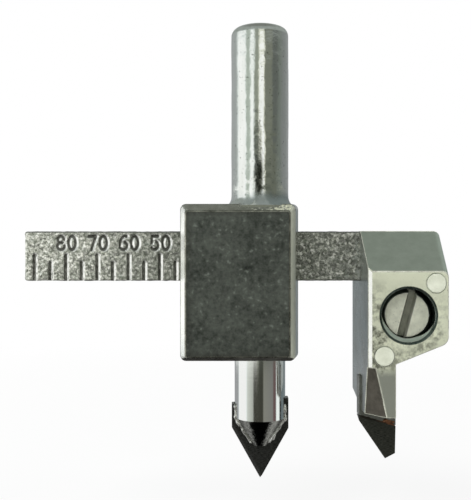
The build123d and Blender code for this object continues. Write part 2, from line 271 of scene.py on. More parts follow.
castGrain = makeGrain()
zincSpangle = makeSpangle()
edgeWear = makeEdgeWear()
mottle = makeMottle()
print("surface effects built")


# Finishes

def newFinish(name, stretch=(1, 1, 1), **constants):
    # a material with its Principled shader, and the place on the object in millimetres times stretch
    material = bpy.data.materials.new(name)
    material.use_nodes = True
    tree = material.node_tree
    tree.nodes.clear()
    skin = addNode(tree, "ShaderNodeBsdfPrincipled", **constants)
    addNode(tree, "ShaderNodeOutputMaterial", Surface=skin.outputs["BSDF"])
    where = addNode(tree, "ShaderNodeTexCoord").outputs["Object"]
    return material, skin.inputs, stretched(where, [s / mm for s in stretch])


def layers(place, wanted):
    # the outputs of each wanted effect: the effect comes first, then its size or width, its other measure
    # and, where the place is drawn out for it, the stretch
    found = []
    for group, size, other, *stretch in wanted:
        node = addNode(treeOf(place), "ShaderNodeGroup", node_tree=group)
        found.append(feedAll(node, stretched(place, *stretch) if stretch else place, size, other))
    return found


def tint(colour, tone, mask, share):
    # the colour drawn towards a tone by a share of the mask
    return blendColour(maths("MULTIPLY", mask, share), colour, tone)


def dress(skin, colour, rough, grain, bump, normal=None):
    # feeds a finish's colour and roughness, and its normal bumped by the grain; bump is the strength and the
    # depth in millimetres, over the plain normal or the one given
    strength, depth = bump
    relief = addNode(skin[0].id_data, "ShaderNodeBump", Height=grain["Height"], Normal=normal,
                     Strength=strength, Distance=depth * mm)
    for label, value in (("Base Color", colour), ("Roughness", rough), ("Normal", relief.outputs["Normal"])):
        feed(skin[label], value)


def placeParts(place, axes):
    # the place's coordinates along these axes, as sockets
    apart = addNode(treeOf(place), "ShaderNodeSeparateXYZ", Vector=place).outputs
    return [apart[axis] for axis in axes]


faceLook = {
    "dark": (0.035, 0.04, 0.035), "light": (0.23, 0.25, 0.22), "speck": (0.42, 0.46, 0.41),
    "rubbed": (0.62, 0.62, 0.52), "edge": (0.05, 0.044, 0.037),
    "layers": ((mottle, 0.62, 0.62), (mottle, 3.2, 0.9), (castGrain, 0.34, 0.8), (edgeWear, 0.2, 0.5)),
    "patchShare": 0.55, "broadShare": 0.45, "speckShare": 0.45,
    # the dirty band along the edges: the face's middle and half sizes in X and Z, the band's width and share
    "middle": (-3.2, -25.95), "half": (8.37, 11.3), "band": 1.3, "bandShare": 0.5,
    "rough": (0, 1, 0.4, 0.58), "bump": (0.5, 0.03),
}


def makeBlockFace():
    # the block's front: dark mottled plating with pale specks, dirty near its edges and rubbed pale on them
    look = faceLook
    material, skin, place = newFinish("blockFacePlating", Metallic=0.8)
    patch, broad, grain, worn = layers(place, look["layers"])
    slow = maths("MULTIPLY", broad["Cloud"], look["broadShare"])
    tone = maths("MULTIPLY_ADD", patch["Cloud"], look["patchShare"], slow)
    colour = blendColour(tone, look["dark"], look["light"])
    colour = tint(colour, look["speck"], patch["Specks"], look["speckShare"])
    x, z = placeParts(place, "XZ")
    for socket, middle, half in zip((x, z), look["middle"], look["half"]):
        away = maths("ABSOLUTE", maths("SUBTRACT", socket, middle))
        band = remap(away, half - look["band"], half, 0, look["bandShare"])
        colour = blendColour(band, colour, look["edge"])
    colour = blendColour(worn["Mask"], colour, look["rubbed"])
    rough = remap(patch["Cloud"], *look["rough"])
    dress(skin, colour, rough, grain, look["bump"], worn["Normal"])
    return material


zincLook = {
    "patch": (mottle, 1.6, 0.4), "wear": (edgeWear, 0.15, 0.6), "fine": 0.5, "bump": 0.6,
    "rubbed": (0.9, 0.9, 0.84), "rubShare": 0.5, "smoother": 0.75, "rougher": 1.25,
}


def makeZinc(name, base, dark, rough, wave=(1, 1, 1), depth=0.02, metallic=1.0, size=0.6):
    # smooth bright plating: a base colour drifting to a darker one, with a shallow wavy relief
    look = zincLook
    material, skin, place = newFinish(name, wave, Metallic=metallic)
    patch, grain, worn = layers(place, (look["patch"], (castGrain, size, look["fine"]), look["wear"]))
    colour = blendColour(patch["Cloud"], dark, base)
    colour = tint(colour, look["rubbed"], worn["Mask"], look["rubShare"])
    uneven = remap(grain["Tone"], *effectWork["tones"], rough * look["smoother"], rough * look["rougher"])
    dress(skin, colour, uneven, grain, (look["bump"], depth), worn["Normal"])
    return material


rightBevelLook = {
    "pale": (0.8, 0.81, 0.68), "dirty": (0.2, 0.21, 0.19), "outwards": (4.95, 6.0, 0, 1), "ragged": 0.35,
    "grey": (0.3, 0.31, 0.27), "greyShare": 0.35, "clearing": (-27.0, -36.0, 0.2, 1.0),
    "layers": ((mottle, 0.9, 0.4, (1.0, 1.0, 0.25)), (castGrain, 0.4, 0.6)),
    "rough": (0, 1, 0.28, 0.42), "bump": (0.5, 0.02),
}


def makeRightBevel():
    # the block's right bevel: rubbed to pale metal beside the face, dull and dirty outwards, in streaks
    look = rightBevelLook
    material, skin, place = newFinish("rightBevelPlating", Metallic=0.45)
    patch, grain = layers(place, look["layers"])
    x, z = placeParts(place, "XZ")
    out = maths("MULTIPLY_ADD", patch["Cloud"], look["ragged"], x)
    colour = blendColour(remap(out, *look["outwards"]), look["pale"], look["dirty"])
    lower = maths("MULTIPLY", remap(z, *look["clearing"]), patch["Cloud"])
    colour = blendColour(lower, blendColour(look["greyShare"], colour, look["grey"]), colour)
    rough = remap(patch["Cloud"], *look["rough"])
    dress(skin, colour, rough, grain, look["bump"])
    return material


topBevelLook = {
    "dull": (0.86, 0.87, 0.8), "darkTone": (0.36, 0.37, 0.29), "dirtShare": 0.6,
    "cream": (0.66, 0.68, 0.5), "rightwards": 0.09, "rubbed": (0.55, 1.05, 0, 1),
    "layers": ((mottle, 1.1, 0.4), (mottle, 0.45, 0.3), (castGrain, 0.4, 0.6)),
    "metal": (0, 1, 1.0, 0.35), "rough": (0, 1, 0.2, 0.35), "bump": (0.5, 0.02),
}


def makeTopBevel():
    # the block's top bevel: dull plating, with dirt and cream rubbed patches that thicken to the right
    look = topBevelLook
    material, skin, place = newFinish("topBevelPlating")
    patch, fine, grain = layers(place, look["layers"])
    x = placeParts(place, "X")[0]
    colour = tint(look["dull"], look["darkTone"], patch["Cloud"], look["dirtShare"])
    rubbed = maths("MULTIPLY_ADD", x, look["rightwards"], fine["Cloud"])
    rubbed = remap(rubbed, *look["rubbed"])
    colour = blendColour(rubbed, colour, look["cream"])
    feed(skin["Metallic"], remap(rubbed, *look["metal"]))
    rough = remap(patch["Cloud"], *look["rough"])
    dress(skin, colour, rough, grain, look["bump"])
    return material


shankLook = {
    "layers": ((mottle, 1.0, 0.6, (1.1, 1.1, 0.16)), (castGrain, 0.6, 0.45), (mottle, 0.75, 0.42)),
    "base": (0.9, 0.92, 0.89), "dull": (0.8, 0.83, 0.78), "pit": (0.25, 0.26, 0.23), "pitShare": 0.75,
    "rough": (0.036, 0.09), "bump": (0.6, 0.024),
    # a dark stain low on the front, narrow and fading upwards: its ranges of |X|, Z and Y
    "tarnish": (0.13, 0.14, 0.12), "ragged": 0.5,
    "stainSide": (0.35, 0.7, 1, 0), "stainRise": (-8.0, -4.4, 0.9, 0), "stainFront": (-3.6, -2.8, 1, 0),
    # the dull foot, clearer on the left, and the skin under the bevel's line
    "foot": (0.5, 0.56, 0.56), "footRough": 0.3,
    "footRise": (-11.2, -12.3, 0, 1), "footSide": (-3.4, 0.4, 0.12, 1),
    "below": (0.19, 0.2, 0.16), "belowRise": (-13.9, -14.0, 0, 1), "belowMetal": (0, 1, 1, 0.4),
}


def makeShankSkin():
    # bright plating over a sandy casting: pits, dull streaks along it, a stain on the front and a dull foot
    look = shankLook
    material, skin, place = newFinish("shankPlating")
    drift, sand, pits = layers(place, look["layers"])
    colour = blendColour(drift["Cloud"], look["dull"], look["base"])
    colour = tint(colour, look["pit"], pits["Specks"], look["pitShare"])
    x, y, z = placeParts(place, "XYZ")
    ragged = maths("ADD", z, drift["Cloud"])
    across = maths("ABSOLUTE", maths("MULTIPLY_ADD", sand["Tone"], look["ragged"], x))
    stain = remap(across, *look["stainSide"])
    for value, reach in ((ragged, "stainRise"), (y, "stainFront")):
        stain = maths("MULTIPLY", stain, remap(value, *look[reach]))
    colour = blendColour(stain, colour, look["tarnish"])
    foot = maths("MULTIPLY", remap(ragged, *look["footRise"]), remap(x, *look["footSide"]))
    colour = blendColour(foot, colour, look["foot"])
    below = remap(z, *look["belowRise"])
    colour = blendColour(below, colour, look["below"])
    feed(skin["Metallic"], remap(below, *look["belowMetal"]))
    uneven = remap(sand["Tone"], *effectWork["tones"], *look["rough"])
    rough = maths("MULTIPLY_ADD", foot, look["footRough"], uneven)
    dress(skin, colour, rough, sand, look["bump"])
    return material


barLook = {
    "layers": ((zincSpangle, 0.38, 0.26), (castGrain, 0.532, 0.7), (mottle, 2.4, 0.4)),
    "base": (1.0, 1.0, 0.92), "hollow": (0.36, 0.38, 0.32),
    "hollows": (0.4, 0.56, 0, 1), "patchShare": 0.3,
    # painted shade, growing towards the head
    "dull": (0.13, 0.14, 0.12), "shadeTowardsHead": (-30.0, -12.0, 0, 0.6),
    # painted shade in the floors of the cut marks
    "darkTone": (0.07, 0.07, 0.06), "floor": (0.35, 0.85, 0, 0.88),
    # painted highlight on the lips beside the cut marks
    "bright": (1.0, 1.0, 0.96), "lip": (0.08, 0.3, 0, 0.9),
    # painted shade along the rounded top edge
    "line": (0.16, 0.165, 0.15), "topEdge": (-18.2, -17.98, 0, 0.9),
    "rough": (0, 1, 0.1, 0.26), "bump": (0.6, 0.022),
}


def makeBarSkin():
    # grainy cast skin: each crystal tilts its own way, with dark hollows between; painted shade towards the
    # head and in the cut marks, painted highlights on the worn lips beside them and a painted shade line
    # along the top edge
    look = barLook
    material, skin, place = newFinish("armGrain", Metallic=0.75)
    crystal, grain, patch = layers(place, look["layers"])
    x, z = placeParts(place, "XZ")
    cut, lip = (
        addNode(material.node_tree, "ShaderNodeAttribute", attribute_name=label).outputs["Fac"]
        for label in ("cutFloorShade", "cutLipHighlight")
    )
    colour = blendColour(remap(grain["Tone"], *look["hollows"]), look["hollow"], look["base"])
    colour = tint(colour, look["hollow"], patch["Cloud"], look["patchShare"])
    for value, reach, tone in (
        (x, "shadeTowardsHead", "dull"), (cut, "floor", "darkTone"), (lip, "lip", "bright"), (z, "topEdge", "line"),
    ):
        colour = blendColour(remap(value, *look[reach]), colour, look[tone])
    rough = remap(crystal["Tone"], *look["rough"])
    dress(skin, colour, rough, grain, look["bump"], crystal["Normal"])
    return material


headLook = {
    "cream": (0.8, 0.82, 0.64), "smudge": (0.17, 0.175, 0.13), "grey": (0.28, 0.29, 0.245),
    "rubbed": (0.85, 0.85, 0.74), "rubShare": 0.6,
    # smudges and painted shade: the smudges thicken downwards as painted shade, and gather along the left
    # edge below the slope
    "smudgeAndShade": (-25.2, -34.0, 0, 0.75),
    "leftSide": (19.4, 16.7, 0, 0.9), "leftRise": (-25.0, -30.0, 0.2, 1.0),
    "smudges": (0.12, 0.5, 0.1, 1.0), "speckShare": 0.35,
    "leg": (-38.2, -39.6, 0, 1), "ragged": 0.6,
    "layers": ((mottle, 0.8, 0.3), (mottle, 3.0, 0.5), (castGrain, 0.3, 0.9), (edgeWear, 0.22, 0.4)),
    "rough": (0, 1, 0.46, 0.62), "bump": (0.6, 0.03),
}


def makeHeadFace():
    # pale flat face with rubbed smudges that thicken downwards as painted shade, growing grey below the pin
    # marks, where the leg begins
    look = headLook
    material, skin, place = newFinish("headFacePlating", Metallic=0.4)
    patch, broad, grain, worn = layers(place, look["layers"])
    x, z = placeParts(place, "XZ")
    left = maths("MULTIPLY", remap(x, *look["leftSide"]), remap(z, *look["leftRise"]))
    smudgeAndShade = maths("ADD", remap(z, *look["smudgeAndShade"]), left)
    smudge = remap(maths("MULTIPLY", patch["Cloud"], broad["Cloud"]), *look["smudges"])
    share = maths("MULTIPLY", smudgeAndShade, smudge, clamp=True)
    colour = blendColour(share, look["cream"], look["smudge"])
    colour = tint(colour, look["smudge"], patch["Specks"], look["speckShare"])
    ragged = maths("MULTIPLY_ADD", patch["Cloud"], look["ragged"], z)
    colour = blendColour(remap(ragged, *look["leg"]), colour, look["grey"])
    colour = tint(colour, look["rubbed"], worn["Mask"], look["rubShare"])
    rough = remap(patch["Cloud"], *look["rough"])
    dress(skin, colour, rough, grain, look["bump"], worn["Normal"])
    return material


rodLook = {
    "dark": (0.8, 0.81, 0.79), "bright": (0.92, 0.93, 0.91),
    "rings": (0.15, 0.15, 9.0), "layers": ((castGrain, 0.5, 0.3),),
    "rough": (0.3, 0.7, 0.07, 0.12), "bump": (0.15, 0.004),
}


def makePolished():
    # ground and polished rod: faint rings of the grinding round a mirror-like steel
    look = rodLook
    material, skin, place = newFinish("pilotPolish", look["rings"], Metallic=1.0)
    grain = layers(place, look["layers"])[0]
    colour = blendColour(grain["Tone"], look["dark"], look["bright"])
    rough = remap(grain["Tone"], *look["rough"])
    dress(skin, colour, rough, grain, look["bump"])
    return material


coneLook = {
    "dark": (0.35, 0.35, 0.33), "bright": (0.9, 0.91, 0.88), "speck": (0.95, 0.95, 0.92),
    # painted dark reflection, black in the cone's middle
    "darkReflection": (0.02, 0.02, 0.018),
    "layers": ((mottle, 0.5, 0.28), (castGrain, 0.3, 0.8)),
    "shift": 0.15, "middle": 49.4, "spread": 0.3, "reflectionReach": (1.25, 1.75, 1, 0),
    "rough": (0, 1, 0.3, 0.14), "bump": (0.7, 0.03),
}


def makeCone():
    # the rod's turned end: speckled by flux and solder at its sides, with a painted dark reflection in the
    # middle, widest on top; the painted black ends where |x + shift| + cloud - spread (z + middle) passes
    # through its given reach
    look = coneLook
    material, skin, place = newFinish("pilotConeSkin", Metallic=1.0)
    spatter, grain = layers(place, look["layers"])
    colour = blendColour(spatter["Cloud"], look["dark"], look["bright"])
    colour = blendColour(spatter["Specks"], colour, look["speck"])
    x, z = placeParts(place, "XZ")
    away = maths("ABSOLUTE", maths("ADD", x, look["shift"]))
    widen = maths("MULTIPLY", maths("ADD", z, look["middle"]), look["spread"])
    reach = maths("SUBTRACT", maths("ADD", away, spatter["Cloud"]), widen)
    colour = blendColour(remap(reach, *look["reflectionReach"]), colour, look["darkReflection"])
    rough = remap(spatter["Cloud"], *look["rough"])
    dress(skin, colour, rough, grain, look["bump"])
    return material


carbideLook = {
    "lines": (1.0, 1.0, 7.0), "layers": ((castGrain, 0.5, 0.8), (edgeWear, 0.08, 0.7)),
    "chip": (0.4, 0.42, 0.38), "streaks": (0.35, 0.7, 0, 1),
    "smoother": 0.8, "rougher": 1.3, "bump": (0.3, 0.01),
}


def makeCarbide(name, base, streak, rough):
    # ground carbide: near black, with fine grinding lines and paler chips along its edges
    look = carbideLook
    material, skin, place = newFinish(name, look["lines"], Metallic=0.8)
    grain, worn = layers(place, look["layers"])
    colour = blendColour(remap(grain["Tone"], *look["streaks"]), base, streak)
    colour = blendColour(worn["Mask"], colour, look["chip"])
    uneven = remap(grain["Tone"], *effectWork["tones"], rough * look["smoother"], rough * look["rougher"])
    dress(skin, colour, uneven, grain, look["bump"])
    return material


copperLook = {
    "flux": (0.05, 0.042, 0.034), "copper": (0.5, 0.21, 0.1),
    "layers": ((mottle, 0.6, 0.3), (castGrain, 0.3, 0.8)),
    "clean": (18.4, 20.4, 0, 1), "rough": (0, 1, 0.3, 0.5), "bump": (0.6, 0.03),
}


def makeCopper():
    # brazing metal: brown-black with flux at the left, clean copper breaking through to the right
    look = copperLook
    material, skin, place = newFinish("copperSolder", Metallic=0.9)
    patch, grain = layers(place, look["layers"])
    x = placeParts(place, "X")[0]
    right = maths("MULTIPLY", remap(x, *look["clean"]), patch["Cloud"], clamp=True)
    colour = blendColour(right, look["flux"], look["copper"])
    rough = remap(patch["Cloud"], *look["rough"])
    dress(skin, colour, rough, grain, look["bump"])
    return material


# Plain platings and steels, three of them darkened as painted shade: a name, two tones and a roughness, and
# what differs from the usual
shallow, dim = {"depth": 0.006, "metallic": 0.6}, {"metallic": 0.6, "size": 0.4}
plainFinishes = {
    "blockSide": ("blockSidePlating", (0.93, 0.94, 0.9), (0.8, 0.82, 0.77), 0.2, {"depth": 0.01}),
    "leftBevel": ("leftBevelPlating", (1.0, 1.0, 0.98), (0.95, 0.96, 0.9), 0.14, shallow),
    # painted shade: the bevel that faces down is darkened
    "bottomBevel": ("bottomBevelShade", (0.13, 0.125, 0.11), (0.06, 0.055, 0.05), 0.45, {"metallic": 0.7}),
    "brokenLine": ("brokenEdgeLine", (0.56, 0.56, 0.48), (0.12, 0.12, 0.1), 0.3, {}),
    "slope": ("slopePlating", (0.9, 0.99, 0.88), (0.78, 0.87, 0.76), 0.4, {"depth": 0.008, "size": 0.3}),
    "headSide": ("headSidePlating", (0.6, 0.65, 0.65), (0.48, 0.5, 0.48), 0.32, {"wave": (1, 0.4, 0.4)}),
    "relief": ("reliefSkin", (0.15, 0.135, 0.11), (0.08, 0.072, 0.058), 0.45, {"metallic": 0.6}),
    "disc": ("pinDiscPlating", (0.92, 0.94, 0.8), (0.72, 0.74, 0.6), 0.5, {"metallic": 0.25}),
    "rubbed": ("rubbedEdge", (0.97, 0.98, 0.94), (0.84, 0.85, 0.78), 0.18, {"depth": 0.01}),
    "headEdge": ("headEdgePlating", (0.86, 0.87, 0.74), (0.4, 0.4, 0.33), 0.3, {"metallic": 0.4}),
    # painted shade on the wall of the tapped hole
    "hole": ("tappedHoleShade", (0.16, 0.2, 0.18), (0.05, 0.07, 0.06), 0.3, {"size": 0.3}),
    "screwThread": ("screwThreadSkin", (0.42, 0.45, 0.4), (0.18, 0.2, 0.18), 0.4, {"size": 0.3}),
    # painted shade in the sawn slot
    "screwSlot": ("screwSlotShade", (0.56, 0.57, 0.48), (0.34, 0.35, 0.29), 0.4, dim),
    "screw": ("screwPlating", (0.9, 0.91, 0.76), (0.6, 0.61, 0.5), 0.36, {"metallic": 0.5, "size": 0.4}),
    "blade": ("bladeSteel", (0.42, 0.43, 0.41), (0.22, 0.22, 0.2), 0.4, {}),
    "silver": ("silverSolder", (0.95, 0.95, 0.93), (0.62, 0.62, 0.6), 0.14, {"size": 0.3}),
}
finishes = {
    "blockFace": makeBlockFace(),
    "rightBevel": makeRightBevel(),
    "topBevel": makeTopBevel(),
    "shank": makeShankSkin(),
    "bar": makeBarSkin(),
    "headFace": makeHeadFace(),
    "rod": makePolished(),
    "cone": makeCone(),
    "pilotTip": makeCarbide("pilotCarbide", (0.022, 0.023, 0.021), (0.09, 0.09, 0.085), 0.3),
    "cutterTip": makeCarbide("cutterCarbide", (0.03, 0.033, 0.026), (0.11, 0.11, 0.095), 0.33),
    "copper": makeCopper(),
}
for finishName, (*given, different) in plainFinishes.items():
    finishes[finishName] = makeZinc(*given, **different)
print("finishes made:", len(finishes))


# Shapes worked out on grids, in millimetres

def easedNoise(u, v, seed, period=97, rise=89):
    # random heights at whole numbers of u and v, eased between the nearest four by 3t^2 - 2t^3 each way; they
    # come round again after period steps of u and rise steps of v
    table = np.random.default_rng(seed).random((period, rise))
    u0, v0 = np.floor(u).astype(int), np.floor(v).astype(int)
    s, t = u - u0, v - v0
    s, t = s * s * (3 - 2 * s), t * t * (3 - 2 * t)
    near, far = u0 % period, (u0 + 1) % period
    low, high = v0 % rise, (v0 + 1) % rise
    below = table[near, low] * (1 - s) + table[far, low] * s
    above = table[near, high] * (1 - s) + table[far, high] * s
    return below * (1 - t) + above * t


def spots(*parts):
    # places from their coordinates, each an array or one number for all
    return np.stack(np.broadcast_arrays(*parts), axis=-1)


def gridMesh(name, points):
    # rings of points, each closed on itself; a quad joins four neighbours, and the end rings are capped
    rings, around = points.shape[:2]
    index = np.arange(rings * around).reshape(rings, around)
    closed = np.hstack([index, index[:, :1]])
    quads = np.stack([closed[:-1, :-1], closed[:-1, 1:], closed[1:, 1:], closed[1:, :-1]], axis=-1)
    faces = quads.reshape(-1, 4).tolist() + [index[0][::-1].tolist(), index[-1].tolist()]
    mesh = bpy.data.meshes.new(name)
    mesh.from_pydata((points.reshape(-1, 3) * mm).tolist(), [], faces)
    work = bmesh.new()
    work.from_mesh(mesh)
    bmesh.ops.recalc_face_normals(work, faces=work.faces)
    work.to_mesh(mesh)
    work.free()
    return mesh


def turnedRings(radius, along, around):
    # a profile of radius and height turned about the Z axis: x = r cos a, y = r sin a
    angle = np.linspace(0, 2 * np.pi, around, endpoint=False)
    r, a = np.meshgrid(radius, angle, indexing="ij")
    return spots(r * np.cos(a), r * np.sin(a), along[:, None]), a


skinWork = {
    "merge": 0.0005,     # mm within which two corners are one
    "slack": 0.001,      # mm within which a corner lies on a cutting plane
    "flat": 0.4,         # degrees below which two faces become one
    "crease": 24.0,      # degrees above which shading breaks
    "sharp": 32.0,       # degrees above which an edge is rounded
    "edge": 0.05,        # width of the rounded edges on the plain pieces
}


def isSharp(one, other):
    # whether two normals are further apart than the sharp angle
    return one.dot(other) < math.cos(math.radians(skinWork["sharp"]))


def placePiece(name, mesh, body, slotName, *replaced, finish=None, crease=skinWork["crease"]):
    # a mesh on its body, with the nodes that it stands for hidden; slotName is not used; smoothly shaded, but
    # sharp where two faces meet at more than the crease angle, and all in one finish if it isn't painted yet
    if finish:
        mesh.materials.append(finishes[finish])
    mesh.polygons.foreach_set("use_smooth", np.ones(len(mesh.polygons), bool))
    mesh.set_sharp_from_angle(angle=math.radians(crease))
    mesh.update()
    piece = addObject(name, mesh)
    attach(piece, body)
    if replaced:
        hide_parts(*replaced)
    return piece


def planeOff(work, point, normal):
    # clears what stands out past a plane and closes the cut
    cut = bmesh.ops.bisect_plane(
        work, geom=work.verts[:] + work.edges[:] + work.faces[:], dist=skinWork["slack"] * mm,
        plane_co=[c * mm for c in point], plane_no=normal, clear_outer=True,
    )
    rim = [item for item in cut["geom_cut"] if isinstance(item, bmesh.types.BMEdge) and item.is_boundary]
    bmesh.ops.holes_fill(work, edges=rim)


def skinOf(nodeName, trim=None):
    # the node's loose triangles merged, trimmed, and the edges inside its flat faces dissolved
    mesh = bpy.data.meshes.new(nodeName + "Skin")
    work = bmesh.new()
    work.from_mesh(nodes[nodeName].data)
    bmesh.ops.remove_doubles(work, verts=work.verts, dist=skinWork["merge"] * mm)
    if trim:
        trim(work)
    bmesh.ops.dissolve_limit(
        work, angle_limit=math.radians(skinWork["flat"]), verts=work.verts, edges=work.edges
    )
    work.to_mesh(mesh)
    work.free()
    for name in ("custom_normal", "sharp_edge", "sharp_face"):
        if name in mesh.attributes:
            mesh.attributes.remove(mesh.attributes[name])
    return mesh


def softenEdges(piece, width, weigh, finish=None, steps=2):
    # a bevel whose width on each edge is that edge's weight; weigh gets an edge's middle and its two normals,
    # and finish is the one that the new faces wear, if not their neighbours'
    mesh = piece.data
    work = bmesh.new()
    work.from_mesh(mesh)
    weights = np.zeros(len(mesh.edges))
    for edge in work.edges:
        if len(edge.link_faces) == 2:
            middle = (edge.verts[0].co + edge.verts[1].co) / (2 * mm)
            weights[edge.index] = weigh(middle, edge.link_faces[0].normal, edge.link_faces[1].normal)
    work.free()
    mesh.attributes.new("bevel_weight_edge", "FLOAT", "EDGE").data.foreach_set("value", weights)
    bevel = piece.modifiers.new("softEdges", "BEVEL")
    bevel.limit_method = "WEIGHT"
    bevel.width = width * mm
    bevel.segments = steps
    bevel.harden_normals = True
    bevel.use_clamp_overlap = False
    bevel.material = mesh.materials.find(finishes[finish].name) if finish else -1


def paintFaces(mesh, names, choose):
    # every face gets the first finish, then choose turns the faces' centres in mm and their normals into
    # masks, one for each other finish that has faces, and the last mask that holds a face wins
    for name in names:
        mesh.materials.append(finishes[name])
    count = len(mesh.polygons)
    centres, normals = np.zeros(count * 3), np.zeros(count * 3)
    mesh.polygons.foreach_get("center", centres)
    mesh.polygons.foreach_get("normal", normals)
    chosen = np.zeros(count, np.int32)
    for name, mask in choose(centres.reshape(-1, 3) / mm, normals.reshape(-1, 3)).items():
        chosen[mask] = names.index(name)
    mesh.polygons.foreach_set("material_index", chosen)
    mesh.update()


def nodeBox(name):
    # a node's corners in millimetres
    low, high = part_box(name)
    return np.array(low) / mm, np.array(high) / mm


# The block, and the shank that is cast in one with it

blockLow, blockHigh = nodeBox("body_casting")
blockWork = {
    "height": 24.4,         # mm, the block without its shank
    "footReach": 5.3,       # radius inside which the shank's foot stands
    "footDepth": 1.2,       # how far the foot runs down the top bevel
    "hollow": 2.5,          # depth of the point that closes the block under the foot
    "topFront": -4.0,       # where the top's bevel begins
    "topSlope": 0.0475,     # fall of the top towards the front, and of its bevel
    "bevelSlope": 0.767,
    # the normals by which the top and its bevel are known, and the height above which all is shank
    "topFacing": 0.9, "bevelUp": 0.6, "bevelOut": -0.58, "skinAbove": 0.05, "upright": 0.05,
    # the normals by which the face and the bevels round it get their finishes
    "faceOut": -0.99, "faceDepth": 0.1, "leanOut": -0.4, "leanSide": 0.5,
    "edge": 0.16,           # width of the rubbed edges
    # the drilled places whose edges stay as they are: X, Z and radius in the back, then the socket's radius
    "backHoles": ((-3.2, -21.82, 3.7), (0.0, -32.5, 3.7)), "backDepth": 1.6,
    "socketReach": 4.8, "socketDepth": 1.2,
    "footRim": 5.4,
}
blockTop = blockLow[2] + blockWork["height"]


def dropShank(work):
    # takes the shank and its foot off the casting's copy, and draws the rim they leave in to one point below
    w = blockWork
    gone = []
    for face in work.faces:
        x, y, z = face.calc_center_median() / mm
        nearFoot = math.hypot(x, y) < w["footReach"] and z > blockTop - w["footDepth"]
        normal = face.normal
        ofTop = normal.z > w["topFacing"]
        ofBevel = normal.z > w["bevelUp"] and normal.y < w["bevelOut"] and abs(normal.x) < w["upright"]
        if z > blockTop + w["skinAbove"] or (nearFoot and not ofTop and not ofBevel):
            gone.append(face)
    bmesh.ops.delete(work, geom=gone, context="FACES")
    below = work.verts.new((0, 0, (blockTop - w["hollow"]) * mm))
    rim = [edge for edge in work.edges if edge.is_boundary]
    for edge in rim:
        work.faces.new((*edge.verts, below))
    bmesh.ops.recalc_face_normals(work, faces=work.faces)


def makeBlock():
    # the casting's own skin, with a finish for its face and for each bevel round it
    w = blockWork
    mesh = skinOf("body_casting", dropShank)

    def choose(centres, normals):
        # the front face, and each bevel by the way it leans
        x, y, z = normals.T
        leans, side = y < w["leanOut"], w["leanSide"]
        return {
            "blockFace": (y < w["faceOut"]) & (centres[:, 1] < blockLow[1] + w["faceDepth"]),
            "rightBevel": leans & (x > side),
            "leftBevel": leans & (x < -side),
            "bottomBevel": leans & (z < -side),
            "topBevel": leans & (z > side),
        }

    def weigh(middle, one, other):
        # every sharp edge but those of the drilled holes, and of the top under the shank's foot
        if not isSharp(one, other):
            return 0.0
        away = math.hypot(middle.x, middle.y)
        inSocket = middle.z < blockLow[2] + w["socketDepth"] and away < w["socketReach"]
        inBack = middle.y > blockHigh[1] - w["backDepth"] and any(
            math.hypot(middle.x - x, middle.z - z) < reach for x, z, reach in w["backHoles"]
        )
        underFoot = middle.z > blockTop - w["footDepth"] and away < w["footRim"]
        alongFront = abs(middle.y - w["topFront"]) < 0.01 and max(abs(one.x), abs(other.x)) < w["upright"]
        return 0.0 if inBack or inSocket or (underFoot and not alongFront) else 1.0

    names = ("blockSide", "blockFace", "brokenLine", "rightBevel", "leftBevel", "bottomBevel", "topBevel")
    paintFaces(mesh, names, choose)
    piece = placePiece("blockCasting", mesh, "block", "block_casting", "body_casting")
    softenEdges(piece, w["edge"], weigh, "brokenLine")


makeBlock()

shankWork = {
    "radius": 4.5, "gripHalf": 12.3, "top": 14.1, "endRound": 1.2, "lidInner": 0.5,
    "footRise": 1.3, "footFlare": 0.9, "frontShare": 0.16, "settled": 0.16, "sunk": 1.6, "stubRings": 6,
    "sway": (0.05, 11, 5.5, 3), "dents": (0.022, 34, 0.9, 5),   # depth, cells round it, a cell's rise, seed
    "calmFrom": 0.9, "calmRun": 1.4,                            # below the grip the skin grows smooth
    "seam": 0.04, "seamWidth": 0.14,
    "around": 180, "alongGrip": 230, "footSteps": 15, "endSteps": 22, "lidSteps": 9, "crease": 34.0,
}


def shankProfile():
    # from below: buried stub, foot spread in a quarter ellipse, straight grip, quarter round and flat lid
    w = shankWork
    turn = np.linspace(0, np.pi / 2, w["footSteps"])
    low = -w["gripHalf"] - w["footRise"]
    stub = np.linspace(low - w["sunk"], low, w["stubRings"] + 1)[:-1]
    footZ = low + w["footRise"] * (1 - np.cos(turn))
    footR = w["radius"] + w["footFlare"] * (1 - np.sin(turn))
    shoulder = w["top"] - w["endRound"]
    grip = np.linspace(-w["gripHalf"], shoulder, w["alongGrip"])[1:]
    finish = np.linspace(0, np.pi / 2, w["endSteps"])[1:]
    lid = np.linspace(w["radius"] - w["endRound"], w["lidInner"], w["lidSteps"])[1:]
    endZ = shoulder + w["endRound"] * np.sin(finish)
    endR = w["radius"] - w["endRound"] * (1 - np.cos(finish))
    along = np.concatenate([stub, footZ, grip, endZ, np.full(len(lid), w["top"])])
    radius = np.concatenate([np.full(len(stub), footR[0]), footR, np.full(len(grip), w["radius"]), endR, lid])
    return radius, along


